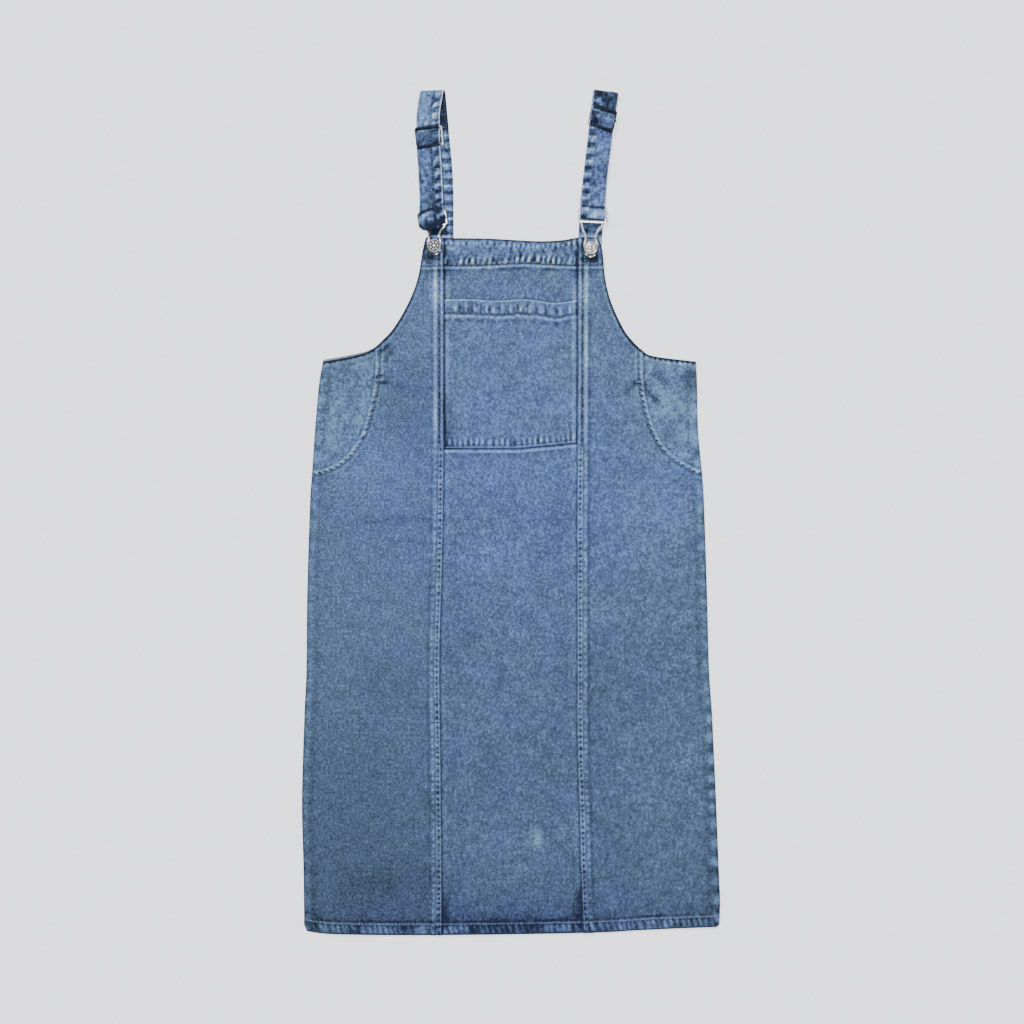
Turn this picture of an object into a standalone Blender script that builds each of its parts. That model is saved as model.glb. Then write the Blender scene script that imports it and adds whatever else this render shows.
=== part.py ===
"""Denim pinafore dress, laid flat with its front up.

Metres. +Z is up from the surface that the dress lies on, +Y runs from the hem to the
shoulder straps, and +X is to the right for someone looking down at the front. The
origin is the middle of the bottom of the dress's box. Left and right are the viewer's.
"""

import math
from collections import namedtuple

import bpy
import numpy as np
from mathutils import Vector, geometry

MM = 0.001

# ------------------------------------------------------------------ driving sizes
HALF_LENGTH = 549 * MM  # half of the way from the strap folds to the hem's lowest point
CLOTH = 1.0 * MM  # one layer of denim
GAP = 0.3 * MM  # between pieces that touch
LAP = 12 * MM  # how far one panel runs under the next at a seam
SOFT_EDGE = (1.0 * MM, 6.0 * MM)  # a panel that climbs over an edge does so this far outside it
HEM_DEPTH = 16 * MM
BIB_BAND_DEPTH = 30 * MM
BACK_TOP = 325.5 * MM  # the back panel's top edge, hidden under the bib
BACK_BAND_DEPTH = 25 * MM
BACK_PEEK = 2.6 * MM  # how far the back shows past the left armhole's foot
POCKET_HEM_DEPTH = 19 * MM
CROWN = 1.0 * MM  # the front's rise over the back, away from its edges
CROWN_RUN = 70 * MM  # how far in from an edge that rise is complete
STRAP_WIDTH = 31 * MM
STRAP = 1.8 * MM  # two layers, pressed
STRAP_FOLD_RADIUS = 2.0 * MM
SLIDER_PITCH = 12 * MM  # between its bars
SLIDER_BAR = (2.4 * MM, 2.0 * MM)  # a bar's width and thickness
SLIDER_ROOM = 0.4 * MM  # between its bars and the strap
SLIDER_SIDE_ROOM = 1.4 * MM  # past each of the strap's edges
WIRE = 2.4 * MM  # the hook's wire, across
HOOK_ROOM = 0.8 * MM  # between the strap's edge and the hook's side wires
HOOK_HEAD_HALF_HEIGHT = 8.6 * MM
BUTTON_DIAMETER = 18 * MM
BUTTON_SHANK = 5 * MM
FRONT_LATTICE = 21 * MM
BACK_LATTICE = 34 * MM
EDGE_STEP = 11 * MM

DENIM = (0.118, 0.188, 0.325)
DENIM_LIGHT = (0.150, 0.236, 0.372)
DENIM_BIB = (0.140, 0.220, 0.365)
STEEL = (0.72, 0.73, 0.74)

# ------------------------------------------------------------------ shape tables, in mm
Sides = namedtuple("Sides", "y left right")
Point = namedtuple("Point", "x y")
Fold = namedtuple("Fold", "x y angle length width height")
Run = namedtuple("Run", "y x turn")  # turn: degrees that the strap's cross line is turned by
Height = namedtuple("Height", "y z")

SIDE_EDGES = [
    Sides(196, -244.4, 240.5),
    Sides(166, -249.6, 241.8),
    Sides(107, -254.8, 243.1),
    Sides(49, -258.7, 248.3),
    Sides(10, -261.3, 250.9),
    Sides(-107, -264.9, 254.8),
    Sides(-205, -265.9, 257.4),
    Sides(-263, -268.5, 261.3),
    Sides(-374, -271.7, 266.5),
    Sides(-458, -269.8, 269.8),
    Sides(-504, -269.1, 271.7),
    Sides(-535, -268.8, 270.6),
]
ARMHOLES = [
    Sides(357, -110.5, 111.8),
    Sides(341, -114.4, 118.3),
    Sides(305, -120.9, 122.2),
    Sides(274, -132.6, 130.0),
    Sides(242, -150.8, 144.3),
    Sides(225, -165.5, 156.0),
    Sides(211, -182.0, 170.3),
    Sides(203, -206.0, 186.0),
    Sides(196, -244.4, 240.5),
]
PRINCESS_SEAMS = [
    Sides(372, -87.1, 87.1),
    Sides(85, -87.1, 86.2),
    Sides(-49, -88.6, 85.8),
    Sides(-192, -92.3, 85.8),
    Sides(-307, -91.0, 86.3),
    Sides(-390, -90.2, 88.8),
    Sides(-449, -89.7, 90.2),
    Sides(-560, -89.5, 94.0),
]
SCOOPS = [  # the curved pocket openings, from the armhole to the side seam
    Sides(222, -176.5, 172.2),
    Sides(172, -178.1, 172.9),
    Sides(144, -183.3, 176.8),
    Sides(120, -188.8, 183.3),
    Sides(100, -196.3, 191.6),
    Sides(84, -206.7, 202.2),
    Sides(70, -219.7, 219.0),
    Sides(59, -239.0, 238.0),
    Sides(52, -266.0, 257.0),
]
BIB_TOP = [
    Point(-110.5, 357.0),
    Point(-73, 356.4),
    Point(-27, 355.6),
    Point(32, 352.4),
    Point(64, 353.4),
    Point(88, 357.0),
    Point(111.8, 357.0),
]
HEM = [
    Point(-265.0, -543.8),
    Point(-232, -547.6),
    Point(-140, -549.0),
    Point(0, -547.9),
    Point(115, -545.4),
    Point(162, -542.8),
    Point(218, -540.2),
    Point(267.0, -538.4),
]
POCKET_TOP = [Point(-110, 273.6), Point(-40, 275.0), Point(20, 272.8), Point(110, 274.4)]
POCKET_FOOT = [Point(-110, 82.6), Point(0, 82.6), Point(15, 83.2), Point(110, 92.0)]
FOLDS = [  # the faint folds that the laid front keeps
    Fold(72, -424, -52, 130, 46, 1.0),
    Fold(-150, -12, 4, 120, 44, 0.8),
    Fold(-176, 175, 20, 70, 46, 0.7),
    Fold(180, 160, -25, 70, 46, 0.7),
    Fold(-8, -230, 82, 220, 60, 0.7),
    Fold(160, -300, 78, 240, 60, 0.8),
    Fold(-180, -330, 96, 240, 60, 0.8),
]
STRAP_BACK = {  # the run that lies on the table
    "left": [Run(326, -90.4, 0), Run(425, -90.6, 1), Run(490, -95.8, 5), Run(547, -101.0, 2)],
    "right": [Run(326, 99.0, 0), Run(425, 103.0, -3), Run(490, 112.0, -6), Run(547, 122.0, -6)],
}
STRAP_FRONT = {
    "left": [
        Run(547, -102.7, 2),
        Run(521, -107.0, 5),
        Run(505, -107.6, 6),
        Run(471, -106.8, 6),
        Run(450, -105.2, 3),
        Run(412, -103.4, 4),
        Run(398, -103.3, 8),
        Run(380, -102.2, 9),
        Run(368, -101.2, 13),
    ],
    "right": [
        Run(547, 124.4, -6),
        Run(529, 121.9, -12),
        Run(495, 116.8, -12),
        Run(478, 114.9, -8),
        Run(430, 109.0, -5),
        Run(384, 106.2, -3),
    ],
}
SLIDER_AT = {"left": 488 * MM, "right": 511.5 * MM}  # y of its middle bar
UPPER_BAR_AT = {"left": 389.5 * MM, "right": 394.5 * MM}  # y of the hook's bar inside the strap
LOOP_AT = {"left": 370.6 * MM, "right": 386.6 * MM}  # y of the middle of the strap's turn
HOOK_HEAD = {"left": (-102.0, 8.0), "right": (106.3, -3.0)}  # x in mm, turn in degrees
BUTTON_AT = {"left": (-99.5, 345.8), "right": (103.4, 343.0)}  # x and y in mm

# ------------------------------------------------------------------ stacked heights
STRAP_Z = STRAP / 2  # the middle of the run on the table
RETURN_Z = STRAP_Z + STRAP + GAP  # the run from the hook back up to the slider
MAIN_Z = RETURN_Z + STRAP + GAP
SLIDER_TOP_Z = RETURN_Z + STRAP / 2 + SLIDER_ROOM + SLIDER_BAR[1] / 2
SLIDER_FOOT_Z = MAIN_Z + STRAP / 2 + SLIDER_ROOM + SLIDER_BAR[1] / 2
SLIDER_MID_Z = (SLIDER_TOP_Z + SLIDER_FOOT_Z) / 2
HUMP_Z = SLIDER_MID_Z + SLIDER_BAR[1] / 2 + SLIDER_ROOM + STRAP / 2
UPPER_BAR_Z = RETURN_Z + STRAP / 2 + GAP + WIRE / 2
OVER_BAR_Z = UPPER_BAR_Z + WIRE / 2 + GAP + STRAP / 2
BIB_Z = 2 * CLOTH + GAP  # the underside of the bib, over the back's top band
TAB_Z = BIB_Z + 2 * CLOTH + GAP  # the underside of a side panel's top corner
TAB_TOP_Z = TAB_Z + 2 * CLOTH
LEFT_LOWER_BAR_Z = STRAP + GAP + WIRE / 2 + 0.2 * MM  # the left hook's head tips down to here
LEFT_TURN_Z = LEFT_LOWER_BAR_Z + WIRE / 2 + GAP + STRAP / 2


# ------------------------------------------------------------------ lines
def smooth_line(points, step):
    """Points about `step` apart on a smooth line through the given ones."""
    p = np.array(points, float)
    p = np.vstack([2 * p[0] - p[1], p, 2 * p[-1] - p[-2]])
    out = []
    for a, b, c, d in zip(p, p[1:], p[2:], p[3:]):
        count = max(1, round(float(np.linalg.norm(c - b)) / step))
        for t in np.arange(count) / count:
            out.append(
                0.5 * (2 * b + (c - a) * t + (2 * a - 5 * b + 4 * c - d) * t**2
                       + (3 * b - a - 3 * c + d) * t**3)
            )
    return np.array(out + [p[-2]])


def side_line(rows, side, step=EDGE_STEP):
    """One side's column of a table of Sides, as a smooth line."""
    return smooth_line([(getattr(r, side) * MM, r.y * MM) for r in rows], step)


def cross_line(rows, step=EDGE_STEP):
    return smooth_line([(r.x * MM, r.y * MM) for r in rows], step)


def x_at(line, y):
    """x on an upright line at height y."""
    order = np.argsort(line[:, 1])
    return np.interp(y, line[order, 1], line[order, 0])


def y_at(line, x):
    return np.interp(x, line[:, 0], line[:, 1])


def shifted(line, distance):
    """The line moved sideways, to the left of its own direction."""
    along = np.gradient(line, axis=0)
    along /= np.linalg.norm(along, axis=1)[:, None]
    return line + distance * np.stack([-along[:, 1], along[:, 0]], axis=1)


def distance_to(points, line):
    """Each point's distance to a line of segments."""
    a, b = line[:-1], line[1:]
    ab = b - a
    ap = points[:, None, :] - a[None]
    t = np.clip((ap * ab).sum(2) / np.maximum((ab * ab).sum(1), 1e-18), 0, 1)
    return np.linalg.norm(ap - t[..., None] * ab, axis=2).min(axis=1)


def inside(points, ring):
    """Whether each point is inside a closed ring."""
    x, y = points[:, 0:1], points[:, 1:2]
    ax, ay = ring[:, 0], ring[:, 1]
    bx, by = np.roll(ax, -1), np.roll(ay, -1)
    spans = (ay > y) != (by > y)
    rise = np.where(by == ay, 1.0, by - ay)
    return (spans & (x < ax + (y - ay) * (bx - ax) / rise)).sum(axis=1) % 2 == 1


def ramp(distance, full=SOFT_EDGE[0], none=SOFT_EDGE[1]):
    """1 up to `full` outside an edge, falling to 0 at `none`."""
    return np.clip((none - distance) / (none - full), 0, 1)


LEFT_SIDE, RIGHT_SIDE = (side_line(SIDE_EDGES, s) for s in ("left", "right"))
LEFT_ARM, RIGHT_ARM = (side_line(ARMHOLES, s) for s in ("left", "right"))
SEAM = {s: side_line(PRINCESS_SEAMS, s, 20 * MM) for s in ("left", "right")}
SCOOP = {s: side_line(SCOOPS, s) for s in ("left", "right")}
BIB_LINE, HEM_LINE = cross_line(BIB_TOP), cross_line(HEM, 20 * MM)
POCKET_TOP_LINE, POCKET_FOOT_LINE = cross_line(POCKET_TOP, 20 * MM), cross_line(POCKET_FOOT, 20 * MM)
FRONT = np.vstack([HEM_LINE, RIGHT_SIDE[::-1], RIGHT_ARM[-2::-1], BIB_LINE[-2:0:-1],
                   LEFT_ARM[:-1], LEFT_SIDE])
SIGN = {"left": -1, "right": 1}


def scoop_ring(side, grow):
    """The ground outside a pocket opening, as a closed ring, grown towards the middle."""
    edge = shifted(SCOOP[side], -SIGN[side] * grow)
    far = SIGN[side] * 0.4
    return np.vstack([edge[:1] + (0, 0.1), edge, edge[-1:] + (SIGN[side] * 0.1, 0),
                      [(far, edge[-1, 1]), (far, edge[0, 1] + 0.1)]])


# ------------------------------------------------------------------ heights
def crown(points):
    """The front's soft rise and faint folds, nothing at its edges."""
    x, y = points[:, 0], points[:, 1]
    t = np.clip(distance_to(points, np.vstack([FRONT, FRONT[:1]])) / CROWN_RUN, 0, 1)
    z = np.full(len(points), CROWN)
    for f in FOLDS:
        c, s = math.cos(math.radians(f.angle)), math.sin(math.radians(f.angle))
        u = (x - f.x * MM) * c + (y - f.y * MM) * s
        v = (y - f.y * MM) * c - (x - f.x * MM) * s
        z += f.height * MM * np.exp(-((2 * u / (f.length * MM)) ** 2) - (2 * v / (f.width * MM)) ** 2)
    return z * t * t * (3 - 2 * t)


def hem_height(points):
    """How far each point is above the dress's lower edge."""
    return points[:, 1] - y_at(HEM_LINE, points[:, 0])


def back_thickness(points):
    y = points[:, 1]
    hem = ramp(hem_height(points) - HEM_DEPTH, 0, 1 * MM)
    band = ramp(BACK_TOP - BACK_BAND_DEPTH - y, 0, 1 * MM)
    return CLOTH * (1 + np.maximum(hem, band))


def front_underside(points):
    """The height that a front piece lies at on the back panel."""
    over_hem = ramp(hem_height(points) - HEM_DEPTH)
    over_band = ramp(BACK_TOP - BACK_BAND_DEPTH - points[:, 1])
    return CLOTH + GAP + CLOTH * np.maximum(over_hem, over_band) + crown(points)


def bib_depth(points):
    """How far each point is below the bib's top edge."""
    return y_at(BIB_LINE, points[:, 0]) - points[:, 1]


def front_thickness(points):
    hem = ramp(hem_height(points) - HEM_DEPTH, 0, 1 * MM)
    band = ramp(bib_depth(points) - BIB_BAND_DEPTH, 0, 1 * MM)
    return CLOTH * (1 + np.maximum(hem, band))


def pocket_underside(points):
    return front_underside(points) + CLOTH + GAP


def pocket_thickness(points):
    """Two layers in the pocket's hem, one under the side panels' laps."""
    x, y = points[:, 0], points[:, 1]
    depth = y_at(POCKET_TOP_LINE, x) - y
    within = np.minimum(x - x_at(SEAM["left"], y), x_at(SEAM["right"], y) - x)
    return CLOTH * (1 + ramp(depth - POCKET_HEM_DEPTH, 0, 1 * MM) * ramp(-within, -3 * MM, -1 * MM))


def side_underside(side):
    """A side panel lies on the back, and climbs over the centre panel, bib pocket and facing."""

    def height(points):
        x, y = points[:, 0], points[:, 1]
        outside = SIGN[side] * (x - x_at(SEAM[side], y)) - LAP
        at_tab = ramp(bib_depth(points) - BIB_BAND_DEPTH, 1 * MM, 20 * MM)
        over_centre = np.maximum(ramp(outside), at_tab)
        centre = CLOTH * (1 + np.maximum(
            ramp(bib_depth(points) - BIB_BAND_DEPTH), ramp(hem_height(points) - HEM_DEPTH)))
        past = np.maximum(y - y_at(POCKET_TOP_LINE, x), y_at(POCKET_FOOT_LINE, x) - y)
        over_pocket = ramp(outside) * ramp(past)
        ring = scoop_ring(side, LAP)
        off_facing = np.where(inside(points, ring), 0, distance_to(points, ring))
        return (front_underside(points) + over_centre * (centre + GAP)
                + (over_pocket + ramp(off_facing)) * (CLOTH + GAP))

    return height


# ------------------------------------------------------------------ building
def material(name, colour, roughness, metallic=0.0):
    made = bpy.data.materials.new(name)
    made.use_nodes = True
    shader = made.node_tree.nodes["Principled BSDF"]
    shader.inputs["Base Color"].default_value = (*colour, 1)
    shader.inputs["Roughness"].default_value = roughness
    shader.inputs["Metallic"].default_value = metallic
    made.diffuse_color = (*colour, 1)
    return made


def add_object(name, data, colour, roughness=0.9, metallic=0.0):
    made = bpy.data.objects.new(name, data)
    bpy.context.scene.collection.objects.link(made)
    data.materials.append(material(name, colour, roughness, metallic))
    return made


def add_mesh(name, vertices, faces, colour, roughness=0.9, metallic=0.0):
    mesh = bpy.data.meshes.new(name)
    mesh.from_pydata([tuple(v) for v in vertices], [], faces)
    mesh.validate()
    mesh.shade_smooth()
    mesh.set_sharp_from_angle(angle=math.radians(35))
    return add_object(name, mesh, colour, roughness, metallic)


def lattice(low, high, spacing):
    """A lattice of even triangles over a box."""
    rise = spacing * math.sqrt(3) / 2
    rows = range(math.floor(low[1] / rise), math.ceil(high[1] / rise) + 1)
    columns = range(math.floor(low[0] / spacing), math.ceil(high[0] / spacing) + 1)
    return np.array([((i + 0.5 * (j % 2)) * spacing, j * rise) for j in rows for i in columns])


def panel(name, ring, cuts, keep, creases, underside, thickness, colour, spacing=FRONT_LATTICE):
    """A cloth wall: the part of `ring` that `keep` accepts, parted along `cuts`.

    `creases` are further lines that its triangles follow, where its height bends.
    """
    lines = [np.vstack([ring, ring[:1]]), *cuts, *creases]
    points, edges = [], []
    for line in lines:
        first = len(points)
        points += [tuple(p) for p in line]
        edges += [(first + i, first + i + 1) for i in range(len(line) - 1)]
    free = lattice(ring.min(axis=0), ring.max(axis=0), spacing)
    free = free[inside(free, ring)]
    for line in lines:
        free = free[distance_to(free, line) > 0.4 * spacing]
    points += [tuple(p) for p in free]
    flat, _, triangles = geometry.delaunay_2d_cdt(
        [Vector(p) for p in points], edges, [], 0, 1e-6, False)[:3]
    flat = np.array([(v.x, v.y) for v in flat])
    triangles = np.array([t for t in triangles if len(t) == 3])
    a, b, c = (flat[triangles[:, k]] for k in range(3))
    turn = (b - a)[:, 0] * (c - a)[:, 1] - (b - a)[:, 1] * (c - a)[:, 0]
    middle = (a + b + c) / 3
    kept = inside(middle, ring) & keep(middle) & (np.abs(turn) > 1e-12)
    triangles = [tuple(t) if s > 0 else tuple(t[::-1]) for t, s in zip(triangles[kept], turn[kept])]
    used = sorted({i for t in triangles for i in t})
    index = {old: new for new, old in enumerate(used)}
    flat, count = flat[used], len(used)
    low = underside(flat)
    high = low + thickness(flat)
    vertices = [(x, y, z) for (x, y), z in zip(flat, low)] + [(x, y, z) for (x, y), z in zip(flat, high)]
    triangles = [tuple(index[i] for i in t) for t in triangles]
    faces = [tuple(count + i for i in t) for t in triangles] + [t[::-1] for t in triangles]
    sides = {(t[k], t[(k + 1) % 3]) for t in triangles for k in range(3)}
    faces += [(i, j, count + j, count + i) for i, j in sides if (j, i) not in sides]
    return add_mesh(name, vertices, faces, colour)


def swept(name, stations, section, colour, roughness=0.9, metallic=0.0):
    """A bar along stations of (middle, across, up), with `section` as (across, up) pairs."""
    vertices = [m + a * across + b * up for m, across, up in stations for a, b in section]
    n = len(section)
    faces = [tuple(range(n))[::-1], tuple(range((len(stations) - 1) * n, len(stations) * n))]
    for k in range(len(stations) - 1):
        for i in range(n):
            j = (i + 1) % n
            faces.append((k * n + i, k * n + j, (k + 1) * n + j, (k + 1) * n + i))
    return add_mesh(name, vertices, faces, colour, roughness, metallic)


# ------------------------------------------------------------------ cloth panels
def back_panel():
    """One piece from side seam to side seam, with its own armholes, top band and hem."""
    arms = []
    for side, line in (("left", LEFT_ARM), ("right", RIGHT_ARM)):
        line = line[line[:, 1] < BACK_TOP]
        if side == "left":  # its foot lies a little higher than the front's
            reach = np.clip((line[:, 0] + 0.165) / (-0.2 + 0.165), 0, 1)
            line = line + np.stack([0 * reach, BACK_PEEK * reach * (reach > 0)], axis=1)
        arms.append(np.vstack([[(x_at(line, BACK_TOP), BACK_TOP)], line]))
    ring = np.vstack([HEM_LINE, RIGHT_SIDE[:0:-1], arms[1][::-1], arms[0], LEFT_SIDE[1:]])
    band = BACK_TOP - BACK_BAND_DEPTH
    creases = [HEM_LINE + (0, HEM_DEPTH + d) for d in (0, 1 * MM)]
    creases += [np.array([(-0.13, band - d), (0.13, band - d)]) for d in (0, 1 * MM)]
    panel("back_panel", ring, [], lambda p: p[:, 0] < 1, creases,
          lambda p: np.zeros(len(p)), back_thickness, DENIM, BACK_LATTICE)


def level_creases():
    """The lines where every front piece changes height or thickness."""
    band = BACK_TOP - BACK_BAND_DEPTH
    wide = np.array([(-0.15, band), (0.15, band)])
    lines = [HEM_LINE + (0, HEM_DEPTH + d) for d in (0, 1 * MM, SOFT_EDGE[1])]
    lines += [wide - (0, d) for d in SOFT_EDGE]
    lines += [BIB_LINE - (0, BIB_BAND_DEPTH + d) for d in (0, 1 * MM)]
    return lines


def front_centre_panel():
    edges = [shifted(SEAM["left"], -LAP), shifted(SEAM["right"], LAP)]

    def keep(p):
        return (p[:, 0] > x_at(edges[0], p[:, 1])) & (p[:, 0] < x_at(edges[1], p[:, 1]))

    panel("front_centre_panel", FRONT, edges, keep, level_creases(),
          front_underside, front_thickness, DENIM)


def front_side_panel(side):
    """From the princess seam to the side seam, with the pocket opening cut out of it."""
    sign, seam = SIGN[side], SEAM[side]
    creases = level_creases() + [BIB_LINE - (0, BIB_BAND_DEPTH + d) for d in (SOFT_EDGE[1], 20 * MM)]
    creases += [shifted(seam, sign * (LAP + d)) for d in SOFT_EDGE]
    creases += [shifted(SCOOP[side], -sign * (LAP + d)) for d in SOFT_EDGE]
    over_lap = np.sort(seam[0, 0] + sign * np.array([-LAP, LAP + 2 * SOFT_EDGE[1]]))
    for line, way in ((POCKET_TOP_LINE, 1), (POCKET_FOOT_LINE, -1)):
        near = np.stack([over_lap, y_at(line, over_lap)], axis=1)
        creases += [near + (0, way * d) for d in SOFT_EDGE]

    def keep(p):
        return (sign * (p[:, 0] - x_at(seam, p[:, 1])) > 0) & ~inside(p, scoop_ring(side, 0))

    panel(f"front_side_panel_{side}", FRONT, [seam, SCOOP[side]], keep, creases,
          side_underside(side), front_thickness, DENIM)


def pocket_facing(side):
    """The patch behind a pocket opening, up to the armhole and out to the side seam."""
    ring = scoop_ring(side, LAP)
    edge = ring[:len(SCOOP[side]) + 2]
    panel(f"pocket_facing_{side}", FRONT, [edge], lambda p: inside(p, ring), [],
          front_underside, lambda p: np.full(len(p), CLOTH), DENIM_LIGHT)


def bib_pocket():
    """Its sides run under the side panels' laps, and its top is hemmed."""
    inset = LAP - 2 * MM
    left, right = shifted(SEAM["left"], -inset), shifted(SEAM["right"], inset)
    creases = [POCKET_TOP_LINE - (0, POCKET_HEM_DEPTH + d) for d in (0, 1 * MM)]
    creases += [shifted(SEAM[s], -SIGN[s] * d) for s in SEAM for d in (1 * MM, 3 * MM)]

    def keep(p):
        x, y = p[:, 0], p[:, 1]
        across = (x > x_at(left, y)) & (x < x_at(right, y))
        return across & (y < y_at(POCKET_TOP_LINE, x)) & (y > y_at(POCKET_FOOT_LINE, x))

    panel("bib_pocket", FRONT, [left, right, POCKET_TOP_LINE, POCKET_FOOT_LINE], keep, creases,
          pocket_underside, pocket_thickness, DENIM_BIB)


# ------------------------------------------------------------------ straps
def eased(rows, y):
    """Height on a run of Height rows, level at each row and easy between them."""
    for high, low in zip(rows, rows[1:]):
        if high.y >= y >= low.y:
            t = (high.y - y) / (high.y - low.y)
            return high.z + (low.z - high.z) * t * t * (3 - 2 * t)
    return rows[-1].z if y < rows[-1].y else rows[0].z


def run_at(rows, y):
    """x and cross turn of a strap's run at height y."""
    rows = sorted(rows)
    line = smooth_line([(r.y * MM, r.x * MM) for r in rows], 4 * MM)
    x = np.interp(y, line[:, 0], line[:, 1])
    return x, np.interp(y, [r.y * MM for r in rows], [r.turn for r in rows])


def fold_at(side):
    """y of the middle of a strap's top fold, whose higher corner is at the dress's top."""
    turn = math.radians(STRAP_FRONT[side][0].turn)
    return HALF_LENGTH - STRAP_FOLD_RADIUS - STRAP / 2 - STRAP_WIDTH / 2 * abs(math.sin(turn))


def front_run(side):
    """The strap's heights from its top fold, through the slider, to its turn at the hook."""
    mid, bar, turn = SLIDER_AT[side], UPPER_BAR_AT[side], LOOP_AT[side]
    top, foot = mid + SLIDER_PITCH, mid - SLIDER_PITCH
    return [
        Height(fold_at(side), STRAP_Z + 2 * STRAP_FOLD_RADIUS),
        Height(top + 6 * MM, RETURN_Z),
        Height(top - 2 * MM, RETURN_Z),
        Height(mid + 1.5 * MM, HUMP_Z),
        Height(mid - 1.5 * MM, HUMP_Z),
        Height(foot + 2 * MM, MAIN_Z),
        Height(bar + 14 * MM, MAIN_Z),
        Height(bar + 2 * MM, OVER_BAR_Z),
        Height(turn, OVER_BAR_Z),
    ]


def return_run(side):
    """Its heights under the front run, from below the slider's middle bar to the turn."""
    end, bar, turn = SLIDER_AT[side] - 2 * MM, UPPER_BAR_AT[side], LOOP_AT[side]
    if side == "left":  # its turn lies on the hook's lower bar
        return [Height(end, RETURN_Z), Height(bar - 3 * MM, RETURN_Z),
                Height(turn + 6.5 * MM, LEFT_TURN_Z), Height(turn, LEFT_TURN_Z)]
    return [Height(end, RETURN_Z), Height(turn, RETURN_Z)]


def along_run(rows, places):
    """Places (x, y, z, turn) down a run: close together where it climbs, wide where it is level."""
    out = []
    for high, low in zip(rows, rows[1:]):
        step = 16 * MM if high.z == low.z else 2.3 * MM
        count = max(1, round((high.y - low.y) / step))
        for y in np.linspace(high.y, low.y, count, endpoint=False):
            x, turn = run_at(places, y)
            out.append((x, y, eased(rows, y), turn))
    return out


def strap(side):
    """Up from the back panel, over at the shoulder, down through the slider, round the hook."""
    back, front = STRAP_BACK[side], STRAP_FRONT[side]
    fold, turn_y = fold_at(side), LOOP_AT[side]
    path = []  # (x, y, z, turn)
    for y in np.linspace(BACK_TOP + GAP, fold, 12):
        x, turn = run_at(back, y)
        path.append((x, y, STRAP_Z, turn))
    (x0, turn0), (x1, turn1) = run_at(back, fold), run_at(front, fold)
    for k in range(1, 8):
        t, a = k / 8, math.pi * k / 8
        path.append((x0 + (x1 - x0) * t, fold + STRAP_FOLD_RADIUS * math.sin(a),
                     STRAP_Z + STRAP_FOLD_RADIUS * (1 - math.cos(a)), turn0 + (turn1 - turn0) * t))
    over, under = front_run(side), return_run(side)
    path += along_run(over, front)
    x, turn = run_at(front, turn_y)
    middle, radius = (over[-1].z + under[-1].z) / 2, (over[-1].z - under[-1].z) / 2
    for k in range(9):
        a = math.pi * k / 8
        path.append((x, turn_y - radius * math.sin(a), middle + radius * math.cos(a), turn))
    path += along_run(under, front)[::-1]
    stations = []
    ways = np.gradient(np.array([p[:3] for p in path]), axis=0)
    for (x, y, z, turn), way in zip(path, ways):
        across = Vector((math.cos(math.radians(turn)), math.sin(math.radians(turn)), 0))
        up = across.cross(Vector((0, way[1], way[2]))).normalized()
        up = (up - across * up.dot(across)).normalized()
        stations.append((Vector((x, y, z)), across, up))
    w, t, e = STRAP_WIDTH / 2, STRAP / 2, 0.5 * MM
    section = [(-w, e - t), (-w, t - e), (e - w, t), (w - e, t), (w, t - e), (w, e - t), (w - e, -t),
               (e - w, -t)]
    swept(f"strap_{side}", stations, section, DENIM_BIB)


# ------------------------------------------------------------------ metal pieces
def slider(side):
    """A flat frame with a middle bar: the strap goes under its ends and over its middle."""
    bar, deep = SLIDER_BAR
    w = STRAP_WIDTH / 2 + SLIDER_SIDE_ROOM + bar
    h = SLIDER_PITCH + bar / 2
    xs = [-w, bar - w, w - bar, w]
    ys = [-h, bar - h, -bar / 2, bar / 2, h - bar, h]
    cells = [(i, j) for i in range(3) for j in range(5) if (i, j) not in ((1, 1), (1, 3))]
    x, turn = run_at(STRAP_FRONT[side], SLIDER_AT[side])
    lean = math.atan2(SLIDER_FOOT_Z - SLIDER_TOP_Z, 2 * SLIDER_PITCH)
    turn = math.radians(turn)
    vertices = []
    for z in (-deep / 2, deep / 2):
        for v in ys:
            for u in xs:
                vertices.append((u, v * math.cos(lean) + z * math.sin(lean),
                                 z * math.cos(lean) - v * math.sin(lean)))
    vertices = [(x + u * math.cos(turn) - v * math.sin(turn),
                 SLIDER_AT[side] + u * math.sin(turn) + v * math.cos(turn),
                 SLIDER_MID_Z + z) for u, v, z in vertices]
    quads = [(j * 4 + i, j * 4 + i + 1, (j + 1) * 4 + i + 1, (j + 1) * 4 + i) for i, j in cells]
    faces = [tuple(24 + k for k in q) for q in quads] + [q[::-1] for q in quads]
    rims = {(q[k], q[(k + 1) % 4]) for q in quads for k in range(4)}
    faces += [(a, b, 24 + b, 24 + a) for a, b in rims if (b, a) not in rims]
    made = add_mesh(f"slider_{side}", vertices, faces, STEEL, 0.25, 1.0)
    bevel = made.modifiers.new("Rounded edges", "BEVEL")
    bevel.width, bevel.segments, bevel.limit_method = 0.5 * MM, 2, "ANGLE"


def bent(points, radius, steps=4):
    """A line of straight runs with its corners rounded."""
    out = [points[0]]
    for a, b, c in zip(points, points[1:], points[2:]):
        into, away = (a - b).normalized(), (c - b).normalized()
        start, end = b + into * radius, b + away * radius
        for k in range(steps + 1):
            t = k / steps
            out.append(start * (1 - t) ** 2 + b * 2 * t * (1 - t) + end * t * t)
    return out + [points[-1]]


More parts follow.
